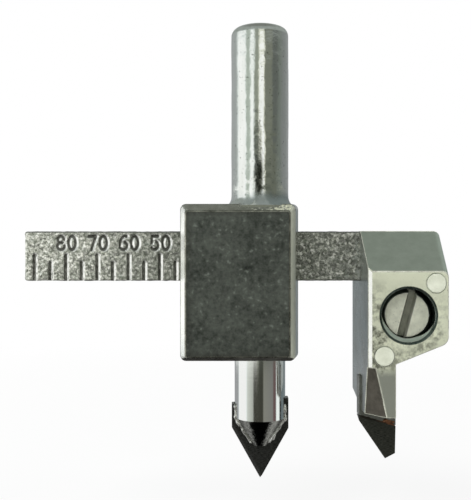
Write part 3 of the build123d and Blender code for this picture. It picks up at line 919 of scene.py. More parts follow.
def makeShank():
    # the turned profile sunk by a slow sway and fine dents, with the mould's seam standing out on both sides
    # by seam exp(-2 (1 - |cos a|) (radius / seamWidth)^2); in front the foot spreads less, and it is drawn
    # down as far as the bevel under it has fallen
    w = shankWork
    radius, along = shankProfile()
    points, angle = turnedRings(radius, along, w["around"])
    z = points[..., 2]
    share = angle / (2 * np.pi)
    calm = np.clip((z + w["gripHalf"] + w["calmFrom"]) / w["calmRun"], 0, 1)
    sink = np.zeros(z.shape)
    for depth, cells, rise, seed in (w["sway"], w["dents"]):
        sink += depth * easedNoise(share * cells, z / rise, seed, cells)
    seam = w["seam"] * np.exp(-2 * (1 - np.abs(np.cos(angle))) * (w["radius"] / w["seamWidth"]) ** 2)
    factor = 1 + calm * (seam - sink) / w["radius"]
    points[..., 0] *= factor
    y = points[..., 1] * factor
    points[..., 1] = y + (1 - w["frontShare"]) * np.maximum(-y - w["radius"], 0)
    footY = points[w["stubRings"], :, 1]
    fallen = blockWork["topSlope"] * np.maximum(-footY, 0)
    fallen += (blockWork["bevelSlope"] - blockWork["topSlope"]) * np.maximum(blockWork["topFront"] - footY, 0)
    points[..., 2] -= (fallen + w["settled"]) * np.clip((-w["gripHalf"] - z) / w["footRise"], 0, 1)
    mesh = gridMesh("shankSkin", points)
    dressed = {"finish": "shank", "crease": w["crease"]}
    placePiece("shankCasting", mesh, "block", "block_casting", "body_casting", **dressed)


makeShank()
print("block and shank made")


# The graduated bar of the arm

barWork = {
    "free": -37.6, "buried": 16.7, "front": 1.0, "back": 9.0, "height": 8.0, "round": 0.3, "endRound": 0.45,
    "step": 0.086, "faceSteps": 96, "sideSteps": 12, "cornerSteps": 5,
    "zero": 8.94, "first": 90, "last": 30,   # the scale, as diameters
    # a mark: its half width, half its wall's width, its depth, and how far to each side it is worked out
    "wall": 0.29, "ease": 0.08, "deep": 0.28, "markReach": 1.6,
    "longTop": 4.39, "shortTop": 3.18,
    # a digit: its middle above the bar's lower edge, its shift and spacing along it, its stroke and depth
    "labelMiddle": 6.1, "labelShift": 0.15, "digitGap": 1.78, "digitReach": 1.4,
    "stroke": 0.245, "strokeEase": 0.07, "digitDeep": 0.23,
    "worn": 0.16, "wornEase": 2.2,           # the right walls are worn back by this much, and so much gentler
    "endShares": (0.01, 0.1, 0.2, 0.3, 0.4, 0.5, 0.6, 0.7, 0.8, 0.88, 0.95),
    "hammer": (0.07, 0.75, 11), "pock": (0.035, 0.4, 12), "endSeed": 13,   # depth, cell and seed
    "faceDepth": 0.9, "faceSkin": 0.4,       # the face's own zone, and the share of the skin left on it
    "crease": 50.0,
}
barTop = nodeBox("arm_casting")[1][2]
barBottom = barTop - barWork["height"]


def curve(cx, cz, rx, rz, start, end, count=13):
    # part of an ellipse: angles in degrees, anticlockwise from the right
    turn = np.radians(np.linspace(start, end, count))
    return spots(cx + rx * np.cos(turn), cz + rz * np.sin(turn))


digits = {
    "0": [curve(0, 0, 0.56, 1.06, 0, 360, 21)],
    "3": [curve(-0.05, 0.52, 0.52, 0.54, 150, -90), curve(-0.05, -0.52, 0.58, 0.55, 90, -150)],
    "4": [np.array([(0.28, -1.08), (0.28, 1.08), (-0.6, -0.42), (0.62, -0.42)])],
    "5": [np.array([(0.5, 1.06), (-0.42, 1.06), (-0.48, 0.12)]), curve(-0.04, -0.4, 0.6, 0.66, 140, -140)],
    "6": [curve(0, -0.46, 0.57, 0.6, 0, 360, 21), curve(0.34, -0.3, 0.92, 1.36, 180, 82, 9)],
    "7": [np.array([(-0.58, 1.04), (0.58, 1.04), (-0.12, -1.08)])],
    "8": [curve(0, 0.54, 0.47, 0.52, 0, 360, 19), curve(0, -0.52, 0.57, 0.55, 0, 360, 19)],
}


def strokeDistance(x, z, line):
    # least distance to a run of straight pieces: to a + t(b - a), with t held between 0 and 1
    nearest = np.full(x.shape, 9.0)
    for (ax, az), (bx, bz) in zip(line[:-1], line[1:]):
        dx, dz = bx - ax, bz - az
        t = np.clip(((x - ax) * dx + (z - az) * dz) / (dx * dx + dz * dz), 0, 1)
        nearest = np.minimum(nearest, np.hypot(x - ax - t * dx, z - az - t * dz))
    return nearest


def sunkBy(distance, wall, ease, deep):
    # deep inside and nothing outside, with a soft wall between: deep (1 - tanh((distance - wall) / ease)) / 2
    return deep * (1 - np.tanh((distance - wall) / ease)) / 2


def cutBoth(depth, floor, lip, x, z, line, wall, ease, deep):
    # adds one cut: the deeper of a sharp one and a gentler one a little to its right; floor keeps the sharp
    # one's share, lip what the gentle one adds to it
    w = barWork
    sharp = sunkBy(strokeDistance(x, z, line), wall, ease, 1.0)
    gentle = sunkBy(strokeDistance(x - w["worn"], z, line), wall, ease * w["wornEase"], 1.0)
    return (
        np.maximum(depth, deep * np.maximum(sharp, gentle)),
        np.maximum(floor, sharp),
        np.maximum(lip, gentle - sharp),
    )


def barDepth(x, z):
    # how deep the face is cut at each place: the marks open at the lower edge, and the digits above them
    w = barWork
    found = [np.zeros(x.shape) for _ in range(3)]

    def cut(near, line, middleX, middleZ, *shape):
        # deepens the places that are near the line by its cut
        parts = cutBoth(*(part[near] for part in found), x[near] - middleX, z[near] - middleZ, line, *shape)
        for part, value in zip(found, parts):
            part[near] = value

    markShape = (w["wall"], w["ease"], w["deep"])
    digitShape = (w["stroke"], w["strokeEase"], w["digitDeep"])
    for diameter in range(w["last"], w["first"] + 1, 5):
        middle = w["zero"] - diameter / 2
        rise = (w["longTop"] if diameter % 10 == 0 else w["shortTop"]) - w["wall"]
        cut(np.abs(x - middle) < w["markReach"], [(0, -1), (0, rise)], middle, barBottom, *markShape)
        if diameter % 10 == 0 and diameter < w["first"]:
            for digit, side in zip(str(diameter), (-0.5, 0.5)):
                x0, z0 = middle + w["labelShift"] + side * w["digitGap"], barBottom + w["labelMiddle"]
                for line in digits[digit]:
                    cut(np.abs(x - x0) < w["digitReach"], line, x0, z0, *digitShape)
    return found


def barSection():
    # a closed rounded rectangle, from the lower front corner up: its places and outward normals in Y and Z
    w = barWork
    r = w["round"]
    corners = [(w["front"] + r, barTop - r, 180), (w["back"] - r, barTop - r, 90),
               (w["back"] - r, barBottom + r, 0), (w["front"] + r, barBottom + r, -90)]
    places, normals = [], []
    faceZ = np.linspace(barBottom + r, barTop - r, w["faceSteps"])[:-1]
    places.append(spots(w["front"], faceZ))
    normals.append(np.tile([-1.0, 0.0], (len(faceZ), 1)))
    for number, (y, z, start) in enumerate(corners):
        turn = np.radians(np.linspace(start, start - 90, w["cornerSteps"]))
        out = spots(np.cos(turn), np.sin(turn))
        places.append(np.array([y, z]) + r * out)
        normals.append(out)
        if number < 3:
            following = np.array(corners[number + 1][:2]) + r * out[-1]
            share = np.linspace(0, 1, w["sideSteps"])[1:-1, None]
            places.append(places[-1][-1] * (1 - share) + following * share)
            normals.append(np.tile(out[-1], (len(share), 1)))
    return np.concatenate(places)[:-1], np.concatenate(normals)[:-1]


def endRings(rimY, rimZ):
    # closes the free end: the rim drawn in to its middle by each share, sunk by depth (1 - share^6) noise
    w = barWork
    depth, size = w["hammer"][:2]
    shares = np.array(w["endShares"])[:, None]
    middleY, middleZ = (w["front"] + w["back"]) / 2, (barTop + barBottom) / 2
    y = middleY + (rimY - middleY) * shares
    z = middleZ + (rimZ - middleZ) * shares
    sink = depth * (1 - shares ** 6) * easedNoise(y / size, z / size, w["endSeed"])
    return spots(w["free"] + sink, y, z)


def makeBar():
    # the section carried along X, sunk by the hammered skin, then by the marks and digits on its face; the
    # free end turns in along a quarter circle
    w = barWork
    section, normal = barSection()
    along = np.arange(w["free"], w["buried"] + w["step"] / 2, w["step"])
    steps = np.hypot(*np.diff(section, axis=0, prepend=section[-1:]).T)
    x, y, z, run = (
        np.broadcast_to(part, (len(along), len(section)))
        for part in (along[:, None], section[:, 0], section[:, 1], np.cumsum(steps))
    )
    skin = np.zeros(x.shape)
    for depth, size, seed in (w["hammer"], w["pock"]):
        cells = round(run[0, -1] / size)
        skin = skin + depth * easedNoise(run / run[0, -1] * cells, x / size, seed, cells)
    near = np.clip(1 - (along - w["free"]) / w["endRound"], 0, 1)
    turnIn = w["endRound"] * (1 - np.sqrt(1 - near ** 2))
    sink = skin + turnIn[:, None]
    y = y - normal[:, 0] * sink
    z = z - normal[:, 1] * sink
    face = y < w["front"] + w["faceDepth"]
    cut, floor, lip = barDepth(x, z)
    y = np.where(face, np.maximum(y, w["front"] + w["faceSkin"] * skin + cut), y)
    points = np.concatenate([endRings(y[0], z[0]), spots(x, y, z)])
    mesh = gridMesh("graduatedBar", points)
    for label, values in (("cutFloorShade", floor), ("cutLipHighlight", lip)):
        plainEnd = np.zeros((len(w["endShares"]), len(section)))
        values = np.concatenate([plainEnd, np.where(face, values, 0)])
        mesh.attributes.new(label, "FLOAT", "POINT").data.foreach_set("value", values.ravel())
    placePiece("graduatedBar", mesh, "arm", "arm_casting", "arm_casting", finish="bar", crease=w["crease"])


makeBar()
print("graduated bar made")


# The head and leg

headWork = {
    "left": 16.05, "front": -6.0, "discFront": -6.05, "bladeTop": -38.7,
    "edge": 0.13, "lead": 16.7, "slack": 0.01,
    # the normals and depths by which the faces get their finishes
    "faceOut": -0.99, "faceDepth": 0.1, "sideOut": -0.9, "reliefOut": -0.2, "holeDepth": 0.02, "slopeUp": 0.3,
    # the relief's ground edges are wider, the slope's left one is narrower
    "reliefWeight": 1.6, "reliefRight": 19.2, "reliefBack": -2.4, "slopeWeight": 0.45,
    "holeMiddle": (22.2, -30.73), "holeRim": (4.1, 4.35), "holeFlare": 4.43, "holeReach": 4.48,
    # hole and pin marks, as X, Z and reach, and how deep their own edges lie
    "rounds": ((22.2, -30.73, 4.5), (26.36, -25.84, 1.75), (18.54, -36.86, 1.75)), "roundBack": -4.5,
}


def dropBar(work):
    # takes the bar off the casting's copy, level with the head, planes off the leading edge at 45 degrees,
    # and flares the hole's mouth a little more than it was drilled
    planeOff(work, (headWork["left"], 0, 0), (-1, 0, 0))
    planeOff(work, (headWork["lead"], headWork["front"], 0), (-1, -1, 0))
    middle = [c * mm for c in headWork["holeMiddle"]]
    nearest, furthest = headWork["holeRim"]
    for vert in work.verts:
        dx, dz = vert.co.x - middle[0], vert.co.z - middle[1]
        reach = math.hypot(dx, dz) / mm
        if vert.co.y < (headWork["front"] + headWork["slack"]) * mm and nearest < reach < furthest:
            vert.co.x = middle[0] + dx * headWork["holeFlare"] / reach
            vert.co.z = middle[1] + dz * headWork["holeFlare"] / reach


def makeHead():
    # the casting's own skin without the bar, with a finish for each of its faces
    w = headWork
    mesh = skinOf("arm_casting", dropBar)

    def choose(centres, normals):
        # each face by its normal, its height or its distance from the hole's middle
        x, y, z = centres.T
        across, out = normals[:, 0], normals[:, 1]
        diagonal = np.abs(normals[:, :2] + math.sqrt(0.5)).max(axis=1)
        away = np.hypot(x - w["holeMiddle"][0], z - w["holeMiddle"][1])
        return {
            "headSide": across < w["sideOut"],
            "headFace": (out < w["faceOut"]) & (y < w["front"] + w["faceDepth"]),
            "relief": (across < w["reliefOut"]) & (out < w["reliefOut"]) & (z < w["bladeTop"]),
            "disc": y < w["discFront"],
            "rubbed": diagonal < w["slack"],
            "hole": (away < w["holeReach"]) & (y > w["front"] + w["holeDepth"]) & (y < 0),
        }

    def weigh(middle, one, other):
        # every sharp edge but those of the hole and pin marks, and of the planed leading edge with the face
        if not isSharp(one, other):
            return 0.0
        ofFace = min(one.y, other.y) < w["faceOut"]
        planed = min(one.x + one.y, other.x + other.y) < -1.41 and ofFace
        if planed and middle.z > w["bladeTop"]:
            return 0.0
        inRound = [math.hypot(middle.x - x, middle.z - z) < reach for x, z, reach in w["rounds"]]
        if any(inRound) and middle.y < w["roundBack"]:
            return 0.0
        if middle.y < w["reliefBack"] and middle.z < w["bladeTop"] + 0.3 and middle.x < w["reliefRight"]:
            return w["reliefWeight"] if ofFace else 1.0
        ofSlope = max(one.z, other.z) > w["slopeUp"] and min(one.x, other.x) < w["sideOut"]
        return w["slopeWeight"] if ofSlope else 1.0

    names = ("slope", "headSide", "headFace", "relief", "disc", "rubbed", "hole", "headEdge")
    paintFaces(mesh, names, choose)
    piece = placePiece("headAndLeg", mesh, "arm", "arm_casting", "arm_casting")
    softenEdges(piece, w["edge"], weigh, "headEdge", 3)


makeHead()
print("head and leg made")


# The three grub screws: threads, chamfers and a sawn slot

backScrew = {"face": 12.9, "radius": 3.0, "pitch": 1.0, "faceRadius": 2.4, "slot": 1.0, "slotDepth": 1.4}
screwWork = {
    "cutterScrew": {
        "node": "cutter_clamp_screw", "body": "cutter_screw", "middle": (22.2, -30.73),
        "face": -4.8, "end": -0.04, "radius": 4.0, "pitch": 1.25, "faceRadius": 3.3,
        "slot": 1.25, "slotDepth": 1.6, "lean": 15.0,
    },
    "armScrew": {
        "node": "arm_clamp_screw", "body": "arm_screw", "middle": (-3.2, -21.82),
        "end": 9.12, "lean": 70.0, **backScrew,
    },
    "pilotScrew": {
        "node": "pilot_clamp_screw", "body": "pilot_screw", "middle": (0.0, -32.5),
        "end": 3.44, "lean": 35.0, **backScrew,
    },
}
# the thread: its depth in pitches, its flat root and its flank as shares, the cone at the face, its steps,
# the width of its rounded edges, the cosine below which they are edges, and a face's slack off its plane
threadWork = {
    "depth": 0.54, "root": 0.1, "flank": 0.75, "cone": 0.95, "lip": 0.04,
    "around": 96, "perTurn": 12, "crease": 30.0, "edge": 0.09, "edgeCosine": 0.8, "slack": 0.02,
}


def threadRings(spec):
    # radius = root + height flank(depth / pitch - angle / 2 pi), cut down by a cone at each end
    w = threadWork
    length = abs(spec["end"] - spec["face"])
    winding = np.linspace(w["lip"], length - w["lip"], int(length / spec["pitch"] * w["perTurn"]))
    depth = np.concatenate([[0.0], winding, [length]])
    angle = np.linspace(0, 2 * np.pi, w["around"], endpoint=False)
    d, a = np.meshgrid(depth, angle, indexing="ij")
    phase = d / spec["pitch"] - a / (2 * np.pi)
    flank = np.clip((2 * np.abs(phase - np.floor(phase) - 0.5) - w["root"]) / w["flank"], 0, 1)
    height = w["depth"] * spec["pitch"]
    root = spec["radius"] - height
    radius = np.minimum(root + height * flank, spec["faceRadius"] + w["cone"] * d)
    radius = np.minimum(radius, root + (length - d))
    inward = 1.0 if spec["end"] > spec["face"] else -1.0
    x = spec["middle"][0] + radius * np.cos(a)
    z = spec["middle"][1] + radius * np.sin(a)
    return spots(x, spec["face"] + inward * d, z), inward


def slotFrame(spec):
    # the directions along and across the slot in X and Z; it leans clockwise from upright, seen from in front
    lean = math.radians(spec["lean"])
    return np.array([math.sin(lean), math.cos(lean)]), np.array([math.cos(lean), -math.sin(lean)])


def slotCutter(spec, inward):
    # a long block across the face, from a little outside it down to the slot's floor
    half, reach = spec["slot"] / 2, spec["radius"] + 1.0
    along, across = slotFrame(spec)
    ring = np.array([(-half, -reach), (half, -reach), (half, reach), (-half, reach)])
    flat = np.array(spec["middle"]) + ring[:, :1] * across + ring[:, 1:] * along
    depths = np.array([-0.6, spec["slotDepth"]]) * inward + spec["face"]
    return gridMesh("slotCutter", spots(flat[:, 0], depths[:, None], flat[:, 1]))


def cutAway(mesh, cutterMesh):
    # the exact difference of two closed meshes
    one = addObject("cutFrom", mesh)
    other = addObject("cutWith", cutterMesh)
    step = one.modifiers.new("cut", "BOOLEAN")
    step.operation = "DIFFERENCE"
    step.solver = "EXACT"
    step.object = other
    shaped = one.evaluated_get(bpy.context.evaluated_depsgraph_get())
    result = bpy.data.meshes.new_from_object(shaped)
    bpy.data.objects.remove(one)
    bpy.data.objects.remove(other)
    return result


def makeScrew(name, spec):
    # threads with the slot sawn out of them
    points, inward = threadRings(spec)
    mesh = cutAway(gridMesh(name, points), slotCutter(spec, inward))
    mesh.materials.clear()
    slack = threadWork["slack"]

    def choose(centres, normals):
        # the slot, and everything else behind the flat end
        deep = inward * (centres[:, 1] - spec["face"])
        across = (centres[:, [0, 2]] - spec["middle"]) @ slotFrame(spec)[1]
        narrow = np.abs(across) < spec["slot"] / 2 + slack
        return {
            "screwThread": deep >= slack,
            "screwSlot": narrow & (deep > slack) & (deep < spec["slotDepth"] + slack),
        }

    def weigh(middle, one, other):
        # the edges in the plane of the face
        atFace = abs(middle.y - spec["face"]) < slack
        return 1.0 if atFace and one.dot(other) < threadWork["edgeCosine"] else 0.0

    paintFaces(mesh, ("screw", "screwThread", "screwSlot"), choose)
    piece = placePiece(name, mesh, spec["body"], "screw_steel", spec["node"], crease=threadWork["crease"])
    softenEdges(piece, threadWork["edge"], weigh)


for screwName, screwSpec in screwWork.items():
    makeScrew(screwName, screwSpec)

ridgeWork = {
    "wall": 4.075, "height": 0.6, "base": 0.4, "pitch": 1.25, "from": -5.45,
    "turns": 0.5, "start": -0.3, "steps": 150, "crease": 50.0,   # start and fade in radians
    "fade": 0.9, "least": 0.04,
    # the section as shares of height inwards and of base along the hole, with its foot inside the wall
    "section": ((0.0, -1.0), (-0.55, -0.3), (-1.0, 0.0), (-0.55, 0.3), (0.0, 1.0), (0.12, 0.0)),
}


def makeHoleThread():
    # the tapped hole's last thread, in front of the screw: a section that grows from nothing and fades out
    # again, carried round a helix whose angle is start - turn
    w = ridgeWork
    turn = np.linspace(0, 2 * np.pi * w["turns"], w["steps"])[:, None]
    fade = np.clip(np.minimum(turn, turn[-1] - turn) / w["fade"], w["least"], 1)
    inwards, along = np.array(w["section"]).T
    r = w["wall"] + inwards * w["height"] * fade
    y = w["from"] + w["pitch"] * turn / (2 * np.pi) + along * w["base"] * fade
    a = w["start"] - turn
    x, z = screwWork["cutterScrew"]["middle"]
    mesh = gridMesh("tappedRidge", spots(x + r * np.cos(a), y, z + r * np.sin(a)))
    placePiece("tappedRidge", mesh, "arm", "arm_casting", finish="slope", crease=w["crease"])


makeHoleThread()
print("screws made")


# The pilot and the cutter

pilotWork = {
    "radius": 4.0, "coneTop": -47.2, "coneFoot": -51.6, "coneEnd": 1.35,
    "top": -27.08, "topEdge": 0.5, "flat": 3.4, "flatFoot": -36.1, "flatRun": 0.6,
    "around": 180, "alongGrip": 60, "alongCone": 24,
    # solder beads down the four corners, and a lump on each side at the plate's shoulder
    "beadTop": -45.0, "beadFoot": -51.2, "bead": 0.25, "beadOut": 0.06, "beadDrift": 0.08, "beadSteps": 90,
    "lump": 0.36, "lumpX": 4.02, "lumpTop": -44.0, "lumpRun": 1.9, "lumpAcross": 0.3, "lumpDrops": (0.9, 0.0),
    "plateFace": 1.0, "chipX": -4.2, "chipZ": -44.6, "chipDrop": 1.0,
    "beadRough": 0.62, "lumpRough": 0.4, "lumpSteps": 24, "driftRun": 0.7,
    "beadSeed": 20, "lumpSeed": 33, "driftSeed": 60,
}
# a bead: how much it swells, the cells of its noise round it and along it, and how long its ends are
beadWork = {
    "swell": 1.6, "cells": 4, "run": 0.5, "slowRun": 1.1, "slow": (0.75, 0.5), "end": 0.35,
    "around": 14, "slowSeed": 40, "crease": 60.0,
}


def beadTube(path, thick, seed, rough):
    # a tube round the path whose radius swells and pinches with the run and the angle, pinched shut at its
    # ends: radius = thick (1 - rough + swell rough noise(angle, run)) slow(run) sqrt(distance / end)
    w = beadWork
    run = np.concatenate([[0], np.cumsum(np.linalg.norm(np.diff(path, axis=0), axis=1))])
    tangent = np.gradient(path, axis=0)
    tangent /= np.linalg.norm(tangent, axis=1)[:, None]
    side = np.cross(tangent, (0.0, 1.0, 0.0))
    side /= np.linalg.norm(side, axis=1)[:, None]
    up = np.cross(side, tangent)
    angle = np.linspace(0, 2 * np.pi, w["around"], endpoint=False)
    along, around = np.meshgrid(run, angle / (2 * np.pi), indexing="ij")
    lumps = easedNoise(around * w["cells"], along / w["run"], seed, w["cells"])
    slow = easedNoise(around * 0, along / w["slowRun"], seed + w["slowSeed"], w["cells"])
    swell = (1 - rough + w["swell"] * rough * lumps) * (w["slow"][0] + w["slow"][1] * slow)
    ends = np.sqrt(np.clip(np.minimum(run, run[-1] - run) / w["end"], 0.01, 1))
    r = (thick * swell * ends[:, None])[..., None]
    out = np.cos(angle)[None, :, None] * side[:, None] + np.sin(angle)[None, :, None] * up[:, None]
    return path[:, None] + r * out


def joinRings(name, tubes):
    # several closed tubes in one mesh
    work = bmesh.new()
    for number, points in enumerate(tubes):
        part = gridMesh(f"{name}{number}", points)
        work.from_mesh(part)
        bpy.data.meshes.remove(part)
    mesh = bpy.data.meshes.new(name)
    work.to_mesh(mesh)
    work.free()
    return mesh


def makePilotBeads():
    # one bead in each corner between the rod and the plate, x = sqrt(r(z)^2 - y^2) with r falling along the
    # cone, and the two lumps
    w = pilotWork
    tubes = []
    z = np.linspace(w["beadTop"], w["beadFoot"], w["beadSteps"])
    share = np.clip((w["coneTop"] - z) / (w["coneTop"] - w["coneFoot"]), 0, 1)
    r = w["radius"] + (w["coneEnd"] - w["radius"]) * share
    for number, (sx, sy) in enumerate(((-1, -1), (1, -1), (-1, 1), (1, 1))):
        drift = w["beadDrift"] * (easedNoise(z * 0, z / w["driftRun"], w["driftSeed"] + number) - 0.5)
        x = sx * (np.sqrt(np.maximum(r * r - w["plateFace"] ** 2, 0.2)) + w["beadOut"] + drift)
        path = spots(x, sy * (w["plateFace"] + w["beadOut"]), z)
        tubes.append(beadTube(path, w["bead"], w["beadSeed"] + number, w["beadRough"]))
    for number, (side, drop) in enumerate(zip((-1, 1), w["lumpDrops"])):
        top = w["lumpTop"] - drop
        ends = np.array([(-w["lumpAcross"], top), (w["lumpAcross"], top - w["lumpRun"])])
        y, z = np.linspace(ends[0], ends[1], w["lumpSteps"]).T
        path = spots(side * w["lumpX"], y, z)
        tubes.append(beadTube(path, w["lump"], w["lumpSeed"] + number, w["lumpRough"]))
    mesh = joinRings("pilotSolder", tubes)
    dressed = {"finish": "silver", "crease": beadWork["crease"]}
    placePiece("pilotSolder", mesh, "pilot", "silver_braze", "pilot_braze", **dressed)


seamWork = {
    "left": 15.65, "from": 15.75, "to": 21.4, "top": -47.05, "slope": 1.6 / 5.85, "faces": (0.0, 2.0),
    "thick": 0.13, "drift": 0.1, "steps": 80,
    # the wide patch of solder at its right end
    "patchFrom": 19.4, "patchTo": 21.35, "patchTop": -47.9, "patchSlope": 0.12, "patchY": 0.02,
    "patchThick": 0.3, "patchSteps": 30,
    "rough": 0.6, "patchRough": 0.4, "driftRun": 0.6, "seed": 50, "patchSeed": 58, "driftSeed": 70,
}


def makeCutterSeam():
    # brazing metal squeezed out along both faces of the slanting seam, z = top - slope (x - left), and a
    # wider patch
    w = seamWork
    x = np.linspace(w["from"], w["to"], w["steps"])
    z = w["top"] - (x - w["left"]) * w["slope"]
    tubes = []
    for number, y in enumerate(w["faces"]):
        drift = w["drift"] * (easedNoise(x, x / w["driftRun"], w["driftSeed"] + number) - 0.5)
        tubes.append(beadTube(spots(x, y, z + drift), w["thick"], w["seed"] + number, w["rough"]))
    x = np.linspace(w["patchFrom"], w["patchTo"], w["patchSteps"])
    z = w["patchTop"] - (x - w["patchFrom"]) * w["patchSlope"]
    tubes.append(beadTube(spots(x, w["patchY"], z), w["patchThick"], w["patchSeed"], w["patchRough"]))
    mesh = joinRings("cutterSolder", tubes)
    dressed = {"finish": "copper", "crease": beadWork["crease"]}
    placePiece("cutterSolder", mesh, "cutter", "copper_braze", "cutter_braze", **dressed)


makePilotBeads()
makeCutterSeam()


def makeRod():
    # a turned profile of chamfered top, straight grip and cone, with the screw's flat planed off the back
    w = pilotWork
    grip = np.linspace(w["top"] - w["topEdge"], w["coneTop"], w["alongGrip"])
    cone = np.linspace(w["coneTop"], w["coneFoot"], w["alongCone"])[1:]
    share = (w["coneTop"] - cone) / (w["coneTop"] - w["coneFoot"])
    coneRadius = w["radius"] + (w["coneEnd"] - w["radius"]) * share
    along = np.concatenate([[w["top"]], grip, cone])
    radius = np.concatenate([[w["radius"] - w["topEdge"]], np.full(len(grip), w["radius"]), coneRadius])
    points = turnedRings(radius, along, w["around"])[0]
    flat = w["flat"] + (w["radius"] - w["flat"]) * np.clip((w["flatFoot"] - along) / w["flatRun"], 0, 1)
    points[..., 1] = np.minimum(points[..., 1], flat[:, None])
    mesh = gridMesh("pilotRod", points)

    def choose(centres, normals):
        # everything below the grip
        return {"cone": centres[:, 2] < w["coneTop"] - threadWork["slack"]}

    paintFaces(mesh, ("rod", "cone"), choose)
    placePiece("pilotRod", mesh, "pilot", "polished_steel", "pilot_rod")


makeRod()


def chipCorner(mesh):
    # the plate's upper left corner is ground lower than its right one
    places = np.zeros(len(mesh.vertices) * 3)
    mesh.vertices.foreach_get("co", places)
    places = places.reshape(-1, 3)
    corner = (places[:, 0] < pilotWork["chipX"] * mm) & (places[:, 2] > pilotWork["chipZ"] * mm)
    places[corner, 2] -= pilotWork["chipDrop"] * mm
    mesh.vertices.foreach_set("co", places.ravel())
    mesh.update()


# Pieces that keep their node's own shape: a name, its body, slot and finish
plainSkins = {
    "pilot_carbide_tip": ("pilotTip", "pilot", "carbide", "pilotTip"),
    "cutter_blade": ("cutterBlade", "cutter", "blade_steel", "blade"),
    "cutter_carbide_tip": ("cutterTip", "cutter", "carbide", "cutterTip"),
}
for nodeName, (pieceName, bodyName, slotName, finishName) in plainSkins.items():
    pieceMesh = skinOf(nodeName)
    if pieceName == "pilotTip":
        chipCorner(pieceMesh)
    made = placePiece(pieceName, pieceMesh, bodyName, slotName, nodeName, finish=finishName)
    softenEdges(made, skinWork["edge"], lambda middle, one, other: float(isSharp(one, other)))
print("pilot and cutter made")


# Studio: pale floor, white background, two high soft boxes, and a room of brighter and darker sides

studio = {
    "floorDrop": 11.0,   # mm below the lowest point: the pilot slides 10.5 mm down, and must stay in sight
    "floorSize": 6000.0,
    "floorTones": ((0.86, 0.86, 0.86), (0.9, 0.9, 0.9)), "floorPatch": (mottle, 40.0, 3.0),
    "shadow": (60.0, 260.0, 0.88, 1.0),   # it fades out between these distances, from 0.88 white to white
    "whiteSide": (0.85, 0.98, 0, 1),      # the level from which a side of the room counts as white
    "key": {"place": (-230, -260, 420), "size": 220, "power": 2.6},
    "fill": {"place": (300, -160, 380), "size": 180, "power": 0.7},
}

# Bands from one azimuth to another, with their level; azimuths go round the vertical in degrees, 0 towards
# the camera and 90 to the right, and between two bands the level changes evenly
upperRoom = (
    (-180, -180, (0.36, 0.37, 0.38)), (-112, -112, (0.38, 0.4, 0.4)), (-97, -63, (1.0, 1.05, 1.05)),
    (-57, -44, (0.45, 0.5, 0.45)), (-39, -28, (0.95, 1.0, 0.98)), (-22, -9, (0.3, 0.32, 0.27)),
    (-4, 14, (1.0, 1.0, 0.84)), (19, 46, (0.19, 0.2, 0.165)), (53, 72, (0.12, 0.13, 0.12)),
    (82, 82, (0.17, 0.19, 0.17)), (110, 110, (0.22, 0.23, 0.23)), (180, 180, (0.36, 0.37, 0.38)),
)
footRoom = (
    (-180, -180, (0.36, 0.37, 0.38)), (-112, -112, (0.38, 0.4, 0.4)), (-97, -63, (1.0, 1.05, 1.05)),
    (-57, -46, (0.45, 0.5, 0.45)), (-40, -29, (0.95, 1.0, 0.98)), (-24, 2, (0.02, 0.024, 0.02)),
    (6, 16, (1.0, 1.0, 0.84)), (20, 20, (0.16, 0.17, 0.14)), (60, 60, (0.14, 0.15, 0.12)),
    (82, 82, (0.17, 0.19, 0.17)), (110, 110, (0.22, 0.23, 0.23)), (180, 180, (0.36, 0.37, 0.38)),
)
groundRoom = (
    (-180, -135, (0.1, 0.1, 0.1)), (-112, -40, (0.34, 0.34, 0.33)), (-20, 20, (0.2, 0.2, 0.19)),
    (40, 112, (0.4, 0.4, 0.38)), (135, 180, (0.1, 0.1, 0.1)),
)
middleRoom = (
    (-180, -180, (0.22, 0.25, 0.26)), (-152, -152, (0.3, 0.31, 0.31)), (-144, -60, (1.05, 1.1, 1.06)),
    (-48, -48, (1.0, 1.02, 0.92)), (-17, -17, (0.95, 0.97, 0.86)), (-10, -10, (0.5, 0.52, 0.45)),
    (-3, -3, (0.12, 0.13, 0.11)), (4, 4, (0.1, 0.11, 0.095)), (12, 12, (0.09, 0.1, 0.08)),
    (50, 68, (0.12, 0.13, 0.11)), (80, 118, (0.3, 0.31, 0.27)), (128, 128, (0.2, 0.21, 0.21)),
    (180, 180, (0.22, 0.25, 0.26)),
)
lowerRoom = (
    (-180, -118, (0.35, 0.36, 0.37)), (-110, -68, (1.0, 1.08, 1.08)), (-60, -60, (0.62, 0.65, 0.6)),
    (-34, -34, (0.42, 0.44, 0.4)), (-29, 11, (0.05, 0.05, 0.04)), (15, 15, (0.24, 0.24, 0.21)),
    (58, 58, (0.21, 0.21, 0.2)), (63, 74, (0.14, 0.09, 0.09)), (79, 94, (0.9, 0.98, 0.96)),
    (101, 101, (0.12, 0.15, 0.16)), (150, 150, (0.2, 0.23, 0.24)), (180, 180, (0.35, 0.36, 0.37)),
)
# sine of the height above the horizon where one part of the room gives way to the next
heights = {
    "ground": (-0.42, -0.3), "lower": (-0.155, -0.135), "foot": (0.055, 0.078), "upper": (0.12, 0.17),
    "sky": (0.26, 0.38), "zenith": (0.75, 0.93), "pit": (-0.84, -0.9),
}
skyTone, zenithTone, pitTone = (0.32, 0.345, 0.33), (0.2, 0.21, 0.195), (0.006, 0.006, 0.006)


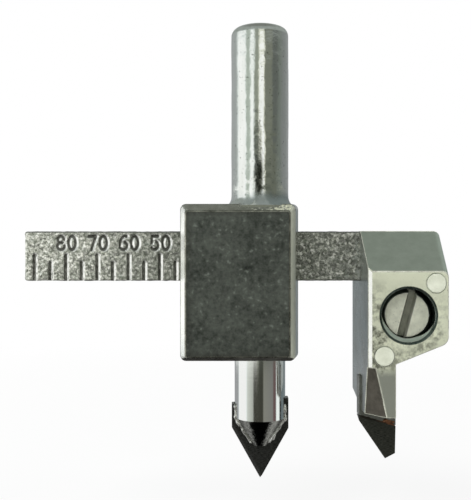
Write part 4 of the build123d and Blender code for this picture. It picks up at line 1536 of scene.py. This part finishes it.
def makeWorld():
    # the room's azimuth bands in five storeys, with sky and ground; the white backdrop is what the camera
    # sees, and what metal and glass see where the room has its white sides
    world = bpy.data.worlds.new("studioRoom")
    bpy.context.scene.world = world
    world.use_nodes = True
    tree = world.node_tree
    tree.nodes.clear()
    where = addNode(tree, "ShaderNodeTexCoord")
    x, y, z = placeParts(where.outputs["Generated"], "XYZ")
    turn = maths("ARCTAN2", x, maths("MULTIPLY", y, -1.0))
    share = maths("MULTIPLY_ADD", turn, 0.5 / math.pi, 0.5)
    storeys = []
    for bands in (groundRoom, lowerRoom, middleRoom, footRoom, upperRoom):
        stops = [(end, level) for *ends, level in bands for end in sorted(set(ends))]
        stops = [((angle + 180) / 360, level) for angle, level in stops]
        storeys.append(ramp(share, stops))
    level = storeys[0]
    for name, storey in zip(("ground", "lower", "foot", "upper"), storeys[1:]):
        level = blendColour(remap(z, *heights[name], 0, 1), level, storey)
    for name, tone in (("sky", skyTone), ("zenith", zenithTone), ("pit", pitTone)):
        level = blendColour(remap(z, *heights[name], 0, 1), level, tone)
    rays = addNode(tree, "ShaderNodeLightPath").outputs
    bright = addNode(tree, "ShaderNodeSeparateColor", Color=level).outputs["Red"]
    mirrored = maths("ADD", rays["Is Glossy Ray"], rays["Is Transmission Ray"])
    white = maths("MULTIPLY", mirrored, remap(bright, *studio["whiteSide"]))
    seen = maths("ADD", rays["Is Camera Ray"], white, clamp=True)
    light = addNode(tree, "ShaderNodeBackground", Color=blendColour(seen, level, (1, 1, 1)))
    addNode(tree, "ShaderNodeOutputWorld", Surface=light.outputs["Background"])


makeWorld()


def addLamp(name, spec):
    # a square soft box aimed at the object's middle
    lampData = bpy.data.lights.new(name, "AREA")
    lampData.size = spec["size"] * mm
    lampData.energy = spec["power"]
    lamp = addObject(name, lampData)
    lamp.location = [c * mm for c in spec["place"]]
    aim = -lamp.location
    lamp.rotation_euler = aim.to_track_quat("-Z", "Y").to_euler()
    lamp.visible_glossy = False


addLamp("keyBox", studio["key"])
addLamp("fillBox", studio["fill"])


def makeFloor():
    # one pale square under the lowest point; white for the camera, but still holding a faint shadow
    half = studio["floorSize"] / 2 * mm
    level = cadBox[0][2] - studio["floorDrop"] * mm
    corners = [(-half, -half, level), (half, -half, level), (half, half, level), (-half, half, level)]
    mesh = bpy.data.meshes.new("floorSheet")
    mesh.from_pydata(corners, [], [(0, 1, 2, 3)])
    material, skin, place = newFinish("floorPaper", Roughness=0.9)
    tree = material.node_tree
    patch = layers(place, (studio["floorPatch"],))[0]
    feed(skin["Base Color"], blendColour(patch["Cloud"], *studio["floorTones"]))
    out = next(node for node in tree.nodes if node.type == "OUTPUT_MATERIAL").inputs["Surface"]
    glow = addNode(tree, "ShaderNodeEmission", Color=(1, 1, 1), Strength=1.0)
    rays = addNode(tree, "ShaderNodeLightPath").outputs
    away = vectorMaths("LENGTH", vectorMaths("MULTIPLY", place, (1.0, 1.0, 0.0)))
    share = maths("MULTIPLY", rays["Is Camera Ray"], remap(away, *studio["shadow"]))
    mix = addNode(tree, "ShaderNodeMixShader")
    feed(out, feedAll(mix, share, out.links[0].from_socket, glow.outputs["Emission"])["Shader"])
    mesh.materials.append(material)
    floor = addObject("paleFloor", mesh)
    floor.visible_glossy = False


makeFloor()
print("studio lit")
